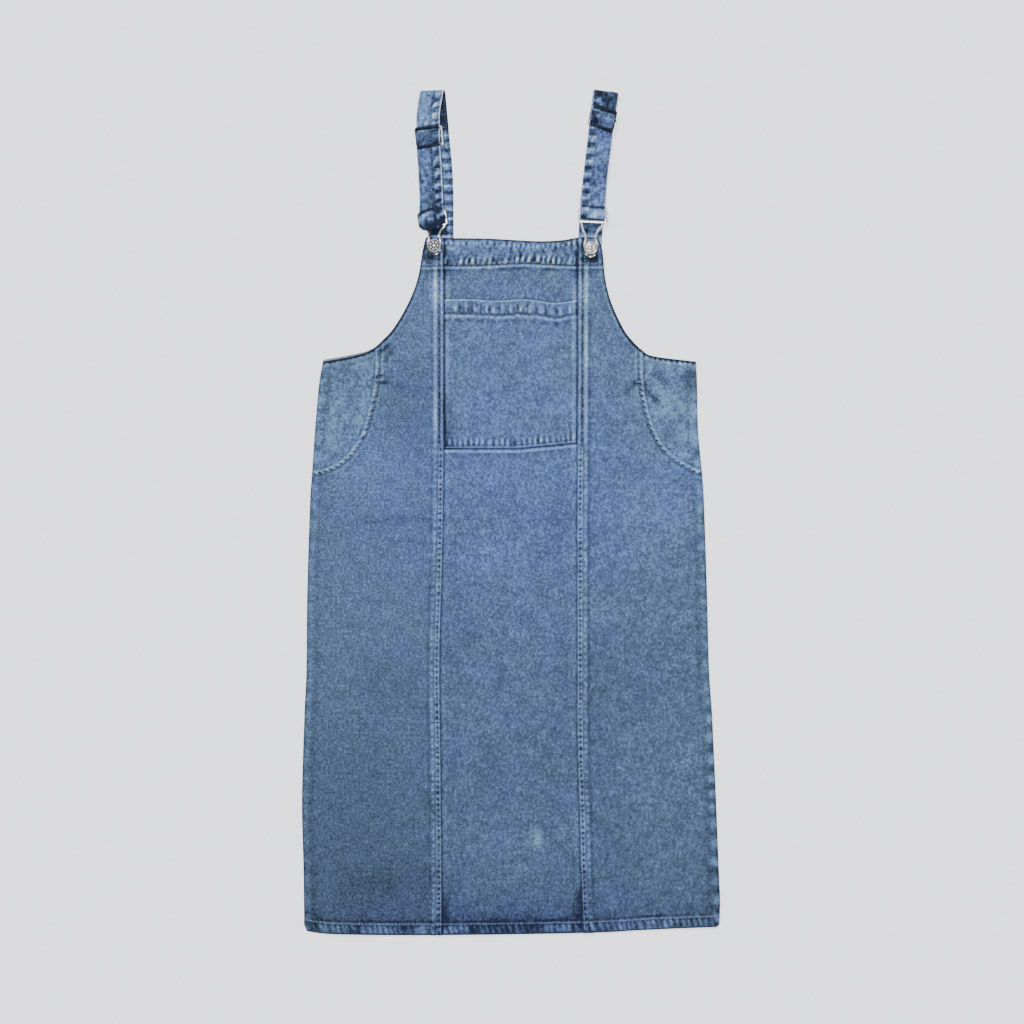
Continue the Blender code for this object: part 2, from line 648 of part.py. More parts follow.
def hook(side):
    """One wire: a square head for the strap, then two arms and a loop round the button."""
    half, high = STRAP_WIDTH / 2 + HOOK_ROOM + WIRE / 2, HOOK_HEAD_HALF_HEIGHT
    reach = WIRE / 2 + GAP
    head_x, turn = HOOK_HEAD[side][0] * MM, math.radians(HOOK_HEAD[side][1])
    head_y = UPPER_BAR_AT[side] - high * math.cos(turn)
    low_z = LEFT_LOWER_BAR_Z if side == "left" else UPPER_BAR_Z
    button = Vector((BUTTON_AT[side][0] * MM, BUTTON_AT[side][1] * MM))
    tab_z = TAB_TOP_Z + GAP + WIRE / 2

    def head(u, v):
        z = low_z + (UPPER_BAR_Z - low_z) * (v + high) / (2 * high)
        return Vector((head_x + u * math.cos(turn) - v * math.sin(turn),
                       head_y + u * math.sin(turn) + v * math.cos(turn), z))

    def loop(u, v, z=tab_z):
        return Vector((button.x + u * MM, button.y + v * MM, z))

    square = [head(half - reach, -high), head(-half, -high), head(-half, high), head(half, high),
              head(half, 1 * MM - high)]
    path = bent(square, 2.2 * MM)
    knee_z = low_z if side == "left" else (low_z + tab_z) / 2
    start, end = head(half - 1 * MM, -high - 2.5 * MM), head(1.5 * MM - half, -high - reach)
    route = [path[-1], start, loop(9.0, 21.5, knee_z), loop(6.6, 16.5, (knee_z + tab_z) / 2),
             loop(6.4, 12.0), loop(8.0, 5), loop(8.3, -2), loop(5.4, -8.6), loop(0, -11.4),
             loop(-5.4, -8.6), loop(-8.3, -2), loop(-8.0, 5), loop(-6.4, 12.0),
             loop(-6.6, 16.5, (knee_z + tab_z) / 2), loop(-9.0, 21.5, knee_z), end]
    path += [Vector(p) for p in smooth_line(route, 2.6 * MM)[1:]]
    curve = bpy.data.curves.new(f"hook_{side}", "CURVE")
    curve.dimensions, curve.bevel_depth, curve.bevel_resolution = "3D", WIRE / 2, 2
    curve.use_fill_caps = True
    spline = curve.splines.new("POLY")
    spline.points.add(len(path) - 1)
    for point, place in zip(spline.points, path):
        point.co = (*place, 1)
    spline.use_smooth = True
    add_object(f"hook_{side}", curve, STEEL, 0.2, 1.0)


def button(side):
    """A tack button: a shank on the cloth and a wide cap over the hook's wire."""
    shank, cap = BUTTON_SHANK / 2, BUTTON_DIAMETER / 2
    foot = TAB_TOP_Z + GAP
    under = foot + WIRE + 0.6 * MM
    profile = [(shank, foot), (shank, under), (cap - 0.6 * MM, under), (cap, under + 0.7 * MM),
               (cap - 0.5 * MM, under + 1.5 * MM), (cap * 0.66, under + 2.3 * MM),
               (cap * 0.55, under + 1.9 * MM), (cap * 0.2, under + 2.2 * MM)]
    sides = 24
    vertices = []
    for r, z in profile:
        for k in range(sides):
            a = 2 * math.pi * k / sides
            vertices.append((BUTTON_AT[side][0] * MM + r * math.cos(a),
                             BUTTON_AT[side][1] * MM + r * math.sin(a), z))
    faces = [tuple(range(sides))[::-1], tuple(range(len(vertices) - sides, len(vertices)))]
    for ring in range(len(profile) - 1):
        for k in range(sides):
            j = (k + 1) % sides
            low, high = ring * sides, (ring + 1) * sides
            faces.append((low + k, low + j, high + j, high + k))
    add_mesh(f"button_{side}", vertices, faces, STEEL, 0.2, 1.0)


def main():
    for old in list(bpy.data.objects):
        bpy.data.objects.remove(old)
    back_panel()
    front_centre_panel()
    bib_pocket()
    for side in ("left", "right"):
        front_side_panel(side)
        pocket_facing(side)
        strap(side)
        slider(side)
        hook(side)
        button(side)


main()
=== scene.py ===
"""Denim pinafore dress, laid flat with its front up: cloth, sewing, metal and stage.

The shape functions work in millimetres, with +X to the right and +Y towards the straps
for someone looking down at the front. Meshes are made in metres, in the frame of the
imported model. Left and right are the viewer's.
"""

import functools
import math
from collections import namedtuple

import bpy
import numpy as np
from bpy.props import FloatProperty, FloatVectorProperty, IntProperty, PointerProperty
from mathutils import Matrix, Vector, geometry


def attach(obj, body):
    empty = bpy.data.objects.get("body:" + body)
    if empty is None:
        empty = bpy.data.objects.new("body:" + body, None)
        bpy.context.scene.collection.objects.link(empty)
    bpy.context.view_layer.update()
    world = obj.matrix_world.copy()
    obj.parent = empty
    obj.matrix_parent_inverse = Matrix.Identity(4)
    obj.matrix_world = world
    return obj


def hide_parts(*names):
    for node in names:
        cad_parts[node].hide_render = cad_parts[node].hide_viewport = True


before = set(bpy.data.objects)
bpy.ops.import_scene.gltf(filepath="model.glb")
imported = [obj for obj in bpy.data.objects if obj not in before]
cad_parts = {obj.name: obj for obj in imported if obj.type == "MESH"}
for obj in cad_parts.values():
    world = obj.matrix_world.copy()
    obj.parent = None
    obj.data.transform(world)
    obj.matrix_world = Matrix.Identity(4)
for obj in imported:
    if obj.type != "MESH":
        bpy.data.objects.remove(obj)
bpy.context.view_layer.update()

bl_info = {
    "name": "Denim Pinafore Dress",
    "version": (1, 0, 0),
    "blender": (4, 5, 0),
    "location": "3D View > Sidebar > Pinafore",
    "description": "Cloth, stitching, metal and stage of a denim pinafore dress laid flat",
    "category": "Add Mesh",
}

MM = 0.001
SIDES = ("left", "right")
SIGN = {"left": -1, "right": 1}

# ------------------------------------------------------------------ sizes, in mm
HALF_LENGTH = 549.0  # half of the way from the strap folds to the hem's lowest point
CLOTH = 1.0  # one layer of denim
GAP = 0.3  # between pieces that touch
LAP = 12.0  # how far one panel runs under the next at a seam
SOFT_EDGE = (0.8, 4.0)  # a panel that climbs over an edge does so this far outside it
HEM_DEPTH = 16.0
BACK_TOP = 325.5  # the back panel's top edge, hidden under the bib
BACK_BAND_DEPTH = 25.0
BACK_PEEK = 2.6  # how far the back shows past the left armhole's foot
PEEK_RUN = (-165, -200)  # x between which that grows
POCKET_HEM_DEPTH = 19.0
CROWN_RUN = 70.0  # how far in from an edge the front's rise is complete
STRAP_WIDTH = 31.0
STRAP = 1.8  # two layers, pressed
STRAP_FOLD_RADIUS = 2.0
SLIDER_PITCH = 12.0  # between its bars
SLIDER_BAR = (2.4, 2.0)  # a bar's width and thickness
SLIDER_ROOM = 0.4  # between its bars and the strap
SLIDER_SIDE_ROOM = 1.4  # past each of the strap's edges
WIRE = 2.4  # the hook's wire, across
WIRE_SHOWN = 3.0  # across the wire with its plating
BAR_SQUARE = 0.45  # 1 makes round bars and wires, and less makes them squarer
HOOK_ROOM = 0.8  # between the strap's edge and the hook's side wires
HOOK_HEAD_HALF_HEIGHT = 8.6
BUTTON_DIAMETER = 18.0
BUTTON_SHANK = 5.0
LINE_STEP = 1.9  # between points on an outline or a seam
RIM = (0.0, 0.3, 0.7, 1.3)  # rows of points that round a cut or turned edge
EDGE_ROUND = 0.7
PATTERN_STEP = 0.31  # between one panel's place in the wash and the next one's, in metres
FACE_STEP = 900  # between the places in the wash of a strap's two faces
TABLE_ROOM = 1500000  # entries in one table of distances
PLAIN, FACING_LOOK, POCKET_LOOK = (  # materials: name and how much paler than plain
    ("washed_denim", 0.0), ("washed_denim_facing", 0.05), ("washed_denim_bib", 0.01))
SENSOR, PICTURE = 36.0, 1024  # the camera's sensor in mm, and the picture in pixels

# ------------------------------------------------------------------ shape tables, in mm
Sides = namedtuple("Sides", "y left right")
Point = namedtuple("Point", "x y")
Fold = namedtuple("Fold", "x y angle length width height")
Crease = namedtuple("Crease", "x y angle length width height wash")
Run = namedtuple("Run", "y x turn")  # turn: degrees that the strap's cross line is turned by
Height = namedtuple("Height", "y z")
StrapLook = namedtuple("StrapLook", "seed half groove_at groove_depth groove_wash lean hump")


def table(kind, *rows):
    return [kind(*row) for row in rows]


SIDE_EDGES = table(
    Sides,
    (196, -244.4, 240.5), (166, -249.6, 241.8), (107, -254.8, 243.1), (49, -258.7, 248.3),
    (10, -261.3, 250.9), (-107, -264.9, 254.8), (-205, -265.9, 257.4), (-263, -268.5, 261.3),
    (-374, -271.7, 266.5), (-458, -269.8, 269.8), (-504, -269.1, 271.7), (-535, -268.8, 270.6),
)
ARMHOLES = table(
    Sides,
    (357, -110.5, 111.8), (341, -114.4, 118.3), (305, -120.9, 122.2), (274, -132.6, 130.0),
    (242, -150.8, 144.3), (225, -165.5, 156.0), (211, -182.0, 170.3), (203, -206.0, 186.0),
    (196, -244.4, 240.5),
)
PRINCESS_SEAMS = table(
    Sides,
    (372, -87.1, 87.1), (85, -87.1, 86.2), (-49, -88.6, 85.8), (-192, -92.3, 85.8),
    (-307, -91.0, 86.3), (-390, -90.2, 88.8), (-449, -89.7, 90.2), (-560, -89.5, 94.0),
)
SCOOPS = table(
    Sides,  # the curved pocket openings, from the armhole to the side seam
    (222, -176.5, 172.2), (172, -178.1, 172.9), (144, -183.3, 176.8), (120, -188.8, 183.3),
    (100, -196.3, 191.6), (84, -206.7, 202.2), (70, -219.7, 219.0), (59, -239.0, 238.0),
    (52, -266.0, 257.0),
)
BIB_TOP = table(
    Point,
    (-110.5, 357.0), (-73, 356.4), (-27, 355.6), (32, 352.4), (64, 353.4), (88, 357.0),
    (111.8, 357.0),
)
HEM = table(
    Point,
    (-265.0, -543.8), (-232, -547.6), (-140, -549.0), (0, -547.9), (115, -545.4),
    (162, -542.8), (218, -540.2), (267.0, -538.4),
)
BIB_ROWS = table(
    Point,  # the stitch row that closes the bib's band
    (-130, 318.0), (-83, 319.2), (-40, 319.8), (0, 321.8), (18, 322.4), (44, 321.2),
    (86, 319.4), (130, 320.5),
)
POCKET_TOP = table(
    Point,
    (-110, 276.4), (-82, 276.8), (-52, 276.8), (-28, 275.2), (-6, 275.4), (15, 276.8),
    (39, 274.4), (50, 272.4), (63, 272.2), (71, 273.4), (86, 275.8), (110, 276.4),
)
TONE_BY_HEIGHT = table(
    Height,  # how pale the dress is at each height: paler at the bib, darker at the hem
    (357, 0.16), (230, 0.16), (81, 0.14), (16, 0.04), (-114, 0.02), (-244, -0.06),
    (-374, -0.26), (-504, -0.44), (-522, -0.62), (-549, -0.5),
)
POCKET_FOOT = table(Point, (-110, 82.6), (0, 82.6), (15, 83.2), (110, 92.0))
FOLDS = table(
    Fold,  # the faint folds that the laid front keeps
    (72, -424, -52, 130, 46, 1.0), (-150, -12, 4, 120, 44, 0.8), (-176, 175, 20, 70, 46, 0.7),
    (180, 160, -25, 70, 46, 0.7), (-8, -230, 82, 220, 60, 0.7), (160, -300, 78, 240, 60, 0.8),
    (-180, -330, 96, 240, 60, 0.8),
)
CREASES = table(
    Crease,  # sharper marks in the cloth: troughs are below 0, and a wash above 0 is paler; dark troughs and pale ridges are partly painted shade and highlight
    # round the left opening's bartack: troughs in painted shade
    (-172, 177.0, 12, 13, 3.0, -0.5, -1.9), (-167, 168.6, 12, 14, 2.8, -0.5, -1.8),
    (-175, 172.4, 80, 9, 3.0, -0.4, -1.6), (-150, 166, -12, 28, 4.0, -0.4, -0.7),
    (-166, 212, 40, 22, 7.0, -0.4, -1.3), (-158, 206, 62, 24, 3.4, -0.3, -1.0),
    # round the right opening's bartack: troughs in painted shade, and one paler ridge
    (184, 150, -44, 34, 6.5, -0.6, -1.25), (163, 170, 20, 14, 5.0, -0.5, -1.6),
    (158, 163, 40, 22, 4.0, -0.4, -1.1), (171, 166, -20, 10, 4.0, -0.4, -1.3),
    (178, 182, 62, 26, 3.2, 0.3, 0.9), (166, 214, -36, 26, 8.0, -0.4, -1.0),
    # on the right facing
    (238, 182, 86, 46, 14.0, 0, -0.35), (210, 176, 0, 44, 14.0, 0, -0.3),
    # single creases
    (35, -425, -80, 26, 12, 0.3, 0.8), (75, -446, -50, 100, 10, -0.4, -0.35),
    (-150, -10, 3, 110, 7, -0.35, -0.4), (-222, 144, 62, 60, 12, 0.3, 0.2),
    (214, 120, -64, 80, 18, 0.3, 0.4),
    # broad paler and darker places
    (-176, 56, 20, 120, 90, 0, 0.18), (219, 107, 60, 120, 80, 0, 0.1),
    (-132, 128, 88, 150, 70, 0, -0.25), (200, -380, 88, 340, 150, 0, 0.2),
    (-205, -380, 88, 340, 150, 0, -0.12), (0, 40, 0, 150, 70, 0, 0.1),
    # painted shadow round the buttons and under the hooks, at the bib's corners
    (-103, 331, 0, 22, 9, -0.4, -1.9), (104, 329, 0, 24, 12, -0.4, -2.2),
    (-112, 344, 70, 18, 6, 0, -1.2), (93, 349, 70, 22, 5, 0, -1.6),
    # where the long seams meet the hem
    (-86, -520, 90, 46, 9, -0.2, -1.2), (88, -510, 90, 46, 12, 0, -1.0),
    # more broad places
    (12, -437, 0, 190, 110, 0, 0.27), (-151, -484, 0, 150, 50, 0, -0.25),
    (155, -240, 0, 190, 130, 0, -0.2), (181, -3, 0, 150, 90, 0, 0.24),
    (-85, -155, 88, 130, 60, 0, -0.14), (-150, -225, 0, 90, 70, 0, -0.16),
    (-20, -55, 0, 80, 60, 0, 0.14), (-222, 172, 10, 60, 40, 0, -0.3),
    # where the long seams pass the bib's band and pocket
    (-84, 326, 90, 44, 8, -0.2, -1.3), (84, 326, 90, 44, 8, -0.2, -1.3),
    (-97, 284, 90, 44, 16, 0, 0.7), (95, 284, 90, 44, 16, 0, 0.9),
    (-86, 126, 90, 66, 14, 0, -0.8),
)
BARTACKS = table(Crease, (-170.3, 172.3, 4, 9, 2.4, 0, 0), (167.7, 170.2, 6, 9, 2.4, 0, 0))
STRAP_BACK = {  # the run that lies on the table
    "left": table(Run, (326, -90.4, 0), (425, -90.6, 1), (490, -95.8, 5), (547, -101.0, 2)),
    "right": table(Run, (326, 101.5, 0), (365, 103.4, -1), (401, 105.2, -3), (427, 108.0, -4),
                   (453, 111.2, -5), (490, 115.5, -6), (547, 122.0, -6)),
}
STRAP_FRONT = {
    "left": table(Run, (547, -102.7, 2), (521, -107.0, 5), (505, -107.6, 6), (471, -106.8, 6),
                  (450, -105.2, 3), (412, -103.4, 4), (398, -103.3, 8), (380, -102.2, 9),
                  (368, -101.2, 13)),
    "right": table(Run, (547, 124.4, -6), (529, 121.9, -12), (495, 116.8, -12),
                   (478, 114.9, -8), (430, 109.0, -5), (384, 106.2, -3)),
}
SLIDER_AT = {"left": 488.0, "right": 511.5}  # y of its middle bar
UPPER_BAR_AT = {"left": 389.5, "right": 394.5}  # y of the hook's bar inside the strap
LOOP_AT = {"left": 370.6, "right": 386.6}  # y of the middle of the strap's turn
HOOK_HEAD = {"left": (-102.0, 8.0), "right": (106.3, -3.0)}  # x, and turn in degrees
HOOK_GLINTS = {  # painted glints: bright places left in the loop's painted shade, in degrees
    "left": (-73, -38),
    "right": (-126, -93, -66),
}
HOOK_ARM = (  # half of the loop round the button: out from its middle, up, share of the fall
    (9.0, 21.5, 1), (6.6, 16.5, 0.5), (6.4, 12.0, 0), (8.0, 5, 0), (8.3, -2, 0), (5.4, -8.6, 0),
)
HOOK_FOOT = -11.4  # the loop's lowest place, from the button's middle
BUTTON_AT = {"left": (-99.5, 345.8), "right": (103.4, 343.0)}
BUTTON_PETALS = {"left": 7, "right": 4}
CAP_PROFILE = (  # in from the cap's edge, up from its underside, the petals' depth, tarnish and painted shade
    # darkest under and round the rim, painted shade; dark in the recessed rings, tarnish
    (0.8, 0, 0, 1), (0.2, 0.3, 0, 1), (0, 0.8, 0, 1), (0.25, 1.35, 0, 0.8), (0.9, 1.6, 0, 0.4),
    (1.5, 1.35, 0, 0.4), (1.9, 1.0, 0, 0.8), (2.5, 1.15, 0.15, 0.8), (3.2, 1.7, 0.5, 0.2),
    (4.2, 2.05, 0.6, 0.0), (5.2, 1.9, 0.5, 0.2), (6.0, 1.5, 0.25, 0.8), (6.5, 1.5, 0, 0.7),
    (7.2, 2.1, 0, 0.1), (8.2, 2.35, 0, 0.0), (8.75, 2.4, 0, 0),
)
STRAP_LOOKS = {  # where its puckered half and groove lie, and how its bars lean, in degrees
    "left": StrapLook(201, 3.4, 3.2, 0.35, 1.3, 6, -0.5),
    "right": StrapLook(211, 4.0, 3.0, 0.1, 0.3, -12, -0.2),
}
LEFT_SWELL = (0.17, 6.5, 1.5)  # the left turn: wider by this share, lower at its corners, higher
RIGHT_SAG = 3.4  # the right turn hangs this much lower

# ------------------------------------------------------------------ stacked heights, in mm
STRAP_Z = STRAP / 2  # the middle of the run on the table
TABLE_RUN_Z = STRAP_Z + 0.5  # only the run on the table lies below this
RETURN_Z = STRAP_Z + STRAP + GAP  # the run from the hook back up to the slider
MAIN_Z = RETURN_Z + STRAP + GAP
SLIDER_TOP_Z = RETURN_Z + STRAP / 2 + SLIDER_ROOM + SLIDER_BAR[1] / 2
SLIDER_FOOT_Z = MAIN_Z + STRAP / 2 + SLIDER_ROOM + SLIDER_BAR[1] / 2
SLIDER_MID_Z = (SLIDER_TOP_Z + SLIDER_FOOT_Z) / 2
HUMP_Z = SLIDER_MID_Z + SLIDER_BAR[1] / 2 + SLIDER_ROOM + STRAP / 2
UPPER_BAR_Z = RETURN_Z + STRAP / 2 + GAP + WIRE / 2
OVER_BAR_Z = UPPER_BAR_Z + WIRE / 2 + GAP + STRAP / 2
TAB_Z = 2 * CLOTH + GAP + 2 * CLOTH + GAP  # the underside of a side panel's top corner
TAB_TOP_Z = TAB_Z + 2 * CLOTH
LEFT_LOWER_BAR_Z = STRAP + GAP + WIRE / 2 + 0.2  # the left hook's head tips down to here
LEFT_TURN_Z = LEFT_LOWER_BAR_Z + WIRE / 2 + GAP + STRAP / 2

# ------------------------------------------------------------------ stitch rows, in mm
PRINCESS_ROWS = (2.2, 8.6)  # in from the panel's edge
SCOOP_ROWS = (1.6, 6.6)
ARMHOLE_ROW = 5.2
HEM_ROW = 14.2
POCKET_HEM_ROW = 17.8
POCKET_FOOT_ROW = 1.8
STRAP_EDGE_ROW = 12.6  # out from the strap's middle
STRAP_MIDDLE_ROW = 3.2
SEAM_SEWN = (-533, 351)  # y between which the long seams are sewn
HEM_SEWN = (-266, 264)  # x between which the others are
BAND_SEWN = (-85.5, 85.5)
POCKET_SEWN = (-85.5, 84.5)
THREAD_Z = 0.25  # a stitch's middle over the cloth, before it sinks in
BIB_ALONG = (268, 300)  # how far down the long seams the bib gives way to the skirt


# ------------------------------------------------------------------ settings
class ClothSettings(bpy.types.PropertyGroup):
    """Sizes of the cloth's surface."""

    lattice: FloatProperty(
        name="Lattice", description="Distance between points on plain cloth",
        default=5.0 * MM, min=2 * MM, unit="LENGTH")
    crown: FloatProperty(
        name="Crown", description="How far the front rises over the back, away from its edges",
        default=1.0 * MM, unit="LENGTH")
    ripple: FloatProperty(
        name="Ripple", description="Height of the soft uneven waves in the laid cloth",
        default=0.45 * MM, unit="LENGTH")
    pucker: FloatProperty(
        name="Pucker", description="Strength of the puckers along the sewing",
        default=1.0, min=0, max=2)


class StitchSettings(bpy.types.PropertyGroup):
    """Sizes of the sewing thread."""

    pitch: FloatProperty(
        name="Pitch", description="Distance from one stitch to the next",
        default=3.9 * MM, min=1 * MM, unit="LENGTH")
    length: FloatProperty(
        name="Length", description="Length of a stitch that shows", default=3.1 * MM, unit="LENGTH")
    thread: FloatProperty(
        name="Thread", description="Width of the thread", default=0.85 * MM, unit="LENGTH")
    seed: IntProperty(name="Seed", description="Changes the small unevenness", default=7)
    colour: FloatVectorProperty(
        name="Thread colour", description="Colour of the sewing thread",
        default=(0.29, 0.40, 0.64), subtype="COLOR", min=0, max=1)


class FinishSettings(bpy.types.PropertyGroup):
    """Colours and textures of the denim and the metal."""

    deep: FloatVectorProperty(
        name="Deep indigo", description="Denim where the wash has not reached",
        default=(0.013, 0.021, 0.055), subtype="COLOR", min=0, max=1)
    shade: FloatVectorProperty(
        name="Shaded indigo", description="Denim that the wash has barely reached",
        default=(0.048, 0.0768, 0.156), subtype="COLOR", min=0, max=1)
    indigo: FloatVectorProperty(
        name="Indigo", description="The washed denim's usual colour",
        default=(0.093, 0.142, 0.310), subtype="COLOR", min=0, max=1)
    worn: FloatVectorProperty(
        name="Worn", description="Denim in the wash's pale specks",
        default=(0.150, 0.256, 0.545), subtype="COLOR", min=0, max=1)
    faded: FloatVectorProperty(
        name="Faded", description="Denim where the wash has worn a ridge",
        default=(0.268, 0.432, 0.79), subtype="COLOR", min=0, max=1)
    bleached: FloatVectorProperty(
        name="Bleached", description="Cloth edges that are worn white",
        default=(0.80, 0.87, 0.95), subtype="COLOR", min=0, max=1)
    inside: FloatVectorProperty(
        name="Inside", description="The cloth's wrong side, where the undyed yarn shows",
        default=(0.47, 0.47, 0.46), subtype="COLOR", min=0, max=1)
    wale: FloatProperty(
        name="Wale", description="Distance between the twill's diagonal lines",
        default=0.95 * MM, unit="LENGTH")
    grain: FloatProperty(
        name="Grain", description="Size of the wash's pale and dark specks",
        default=3.05 * MM, unit="LENGTH")
    contrast: FloatProperty(
        name="Grain contrast", description="Strength of the specks", default=1.0, min=0, max=3)
    steel: FloatVectorProperty(
        name="Metal", description="Colour of the sliders, hooks and buttons",
        default=(0.86, 0.87, 0.88), subtype="COLOR", min=0, max=1)


class StageSettings(bpy.types.PropertyGroup):
    """The floor, the light and the camera."""

    floor: FloatVectorProperty(
        name="Floor", description="Colour of the floor",
        default=(0.80, 0.816, 0.862), subtype="COLOR", min=0, max=1)
    glow: FloatProperty(
        name="Floor glow", description="Light that the floor gives off, as a light table does",
        default=1.42)
    floor_width: FloatProperty(
        name="Floor width", description="Width of the floor", default=14.0, unit="LENGTH")
    view_width: FloatProperty(
        name="View width", description="Width that the camera sees at the floor",
        default=1.3312, unit="LENGTH")
    lens: FloatProperty(
        name="Lens", description="The camera's focal length in millimetres", default=85.0)
    key: FloatProperty(
        name="Key light", description="Strength of the soft light from above the shoulder",
        default=2.0)
    overhead: FloatProperty(
        name="Overhead light", description="Power of the wide light straight above",
        default=44.0)
    fill: FloatProperty(
        name="Fill light", description="Strength of the even light all round", default=0.36)


def settings(name):
    return getattr(bpy.context.scene, f"pinafore_{name}")


def by_side(side, left, right):
    return left if side == "left" else right


# ------------------------------------------------------------------ lines
def smooth_line(points, step):
    """Points about `step` apart on a smooth line through the given ones."""
    p = np.array(points, float)
    p = np.vstack([2 * p[0] - p[1], p, 2 * p[-1] - p[-2]])
    out = []
    for a, b, c, d in zip(p, p[1:], p[2:], p[3:]):
        count = max(1, round(float(np.linalg.norm(c - b)) / step))
        for t in np.arange(count) / count:
            out.append(
                0.5 * (2 * b + (c - a) * t + (2 * a - 5 * b + 4 * c - d) * t**2
                       + (3 * b - a - 3 * c + d) * t**3)
            )
    return np.array(out + [p[-2]])


def side_line(rows, side):
    """One side's column of a table of Sides, as a smooth line."""
    return smooth_line([(getattr(r, side), r.y) for r in rows], LINE_STEP)


def cross_line(rows):
    return smooth_line([(r.x, r.y) for r in rows], LINE_STEP)


def x_at(line, y):
    """x on an upright line at height y."""
    order = np.argsort(line[:, 1])
    return np.interp(y, line[order, 1], line[order, 0])


def y_at(line, x):
    return np.interp(x, line[:, 0], line[:, 1])


def shifted(line, distance):
    """The line moved sideways, to the left of its own direction."""
    along = np.gradient(line, axis=0)
    along /= np.linalg.norm(along, axis=1)[:, None]
    return line + distance * np.stack([-along[:, 1], along[:, 0]], axis=1)


def parts_of(points, size):
    """Points in parts that keep a table against `size` others small."""
    return np.array_split(points, len(points) * size // TABLE_ROOM + 1)


def nearest(points, line):
    """Each point's distance to a line, and how far along the line its foot lies."""
    a, ab = line[:-1], np.diff(line, axis=0)
    length = np.maximum(np.linalg.norm(ab, axis=1), 1e-9)
    start = np.concatenate([[0], np.cumsum(length)[:-1]])
    found = []
    for part in parts_of(points, len(a)):
        ap = part[:, None] - a
        t = np.clip((ap * ab).sum(2) / length**2, 0, 1)
        gap = np.linalg.norm(ap - t[..., None] * ab, axis=2)
        best = gap.argmin(axis=1)
        row = np.arange(len(part))
        found.append((gap[row, best], start[best] + t[row, best] * length[best]))
    return tuple(np.concatenate(column) for column in zip(*found))


def inside(points, ring):
    """Whether each point is inside a closed ring."""
    ax, ay = ring[:, 0], ring[:, 1]
    bx, by = np.roll(ax, -1), np.roll(ay, -1)
    climb = np.where(by == ay, 1.0, by - ay)
    found = []
    for part in parts_of(points, len(ring)):
        x, y = part[:, 0:1], part[:, 1:2]
        spans = (ay > y) != (by > y)
        found.append((spans & (x < ax + (y - ay) * (bx - ax) / climb)).sum(axis=1) % 2 == 1)
    return np.concatenate(found)


SIDE = {s: side_line(SIDE_EDGES, s) for s in SIDES}
ARM = {s: side_line(ARMHOLES, s) for s in SIDES}
SEAM = {s: side_line(PRINCESS_SEAMS, s) for s in SIDES}
SCOOP = {s: side_line(SCOOPS, s) for s in SIDES}
BIB_LINE, HEM_LINE = cross_line(BIB_TOP), cross_line(HEM)
POCKET_TOP_LINE, POCKET_FOOT_LINE = cross_line(POCKET_TOP), cross_line(POCKET_FOOT)
BIB_ROW_LINE = cross_line(BIB_ROWS)
FRONT = np.vstack([HEM_LINE, SIDE["right"][::-1], ARM["right"][-2::-1], BIB_LINE[-2:0:-1],
                   ARM["left"][:-1], SIDE["left"]])


def scoop_ring(side, grow):
    """The ground outside a pocket opening, as a closed ring, grown towards the middle."""
    edge = shifted(SCOOP[side], -SIGN[side] * grow)
    far = SIGN[side] * 400
    return np.vstack([edge[:1] + (0, 100), edge, edge[-1:] + (SIGN[side] * 100, 0),
                      [(far, edge[-1, 1]), (far, edge[0, 1] + 100)]])


# ------------------------------------------------------------------ curves of height
def rise(x, low, high):
    """0 below `low`, 1 above `high`, easy between them."""
    t = np.clip((x - low) / (high - low), 0, 1)
    return t * t * (3 - 2 * t)


def bell(x, at, width):
    return np.exp(-(((x - at) / width) ** 2))


def ramp(distance, full=SOFT_EDGE[0], none=SOFT_EDGE[1]):
    """1 up to `full` outside an edge, falling to 0 at `none`."""
    return 1 - rise(distance, full, none)


def turned(u, v, angle):
    """The place (u, v), turned by an angle in radians."""
    c, s = math.cos(angle), math.sin(angle)
    return u * c - v * s, u * s + v * c


def uneven(u, v=0.0, seed=0):
    """Smooth uneven heights between -1 and 1, about one unit apart."""
    u, v = np.broadcast_arrays(np.asarray(u, float), np.asarray(v, float))
    i, j = np.floor(u).astype(np.int64), np.floor(v).astype(np.int64)
    scatter = 73856093, 19349663, 83492791, 1274126177  # large odd numbers, as hashes use

    def height(a, b):
        mixed = (a * scatter[0]) ^ (b * scatter[1]) ^ (seed * scatter[2])
        mixed = (mixed ^ (mixed >> 13)) * scatter[3]
        return ((mixed ^ (mixed >> 16)) & 0xFFFF) / 32767.5 - 1

    s, t = rise(u - i, 0, 1), rise(v - j, 0, 1)
    low = height(i, j) * (1 - s) + height(i + 1, j) * s
    high = height(i, j + 1) * (1 - s) + height(i + 1, j + 1) * s
    return low * (1 - t) + high * t


def wavy(u, seed):
    """Smooth uneven heights along a line."""
    return uneven(u, 0.5, seed)


def bars(x, period, seed, drift=0.4):
    """Uneven crosswise puckers between about -1 and 1, about `period` apart."""
    phase = 2 * math.pi * (x / period + drift * wavy(x / (2.6 * period), seed))
    return np.sin(phase) * (0.8 + 0.35 * wavy(x / (1.9 * period), seed + 50))


def across_and_along(points, mark):
    """Each point's place along and across a fold or crease."""
    x, y = points[:, 0] - mark.x, points[:, 1] - mark.y
    u, v = turned(x, y, -math.radians(mark.angle))
    return 2 * u / mark.length, 2 * v / mark.width


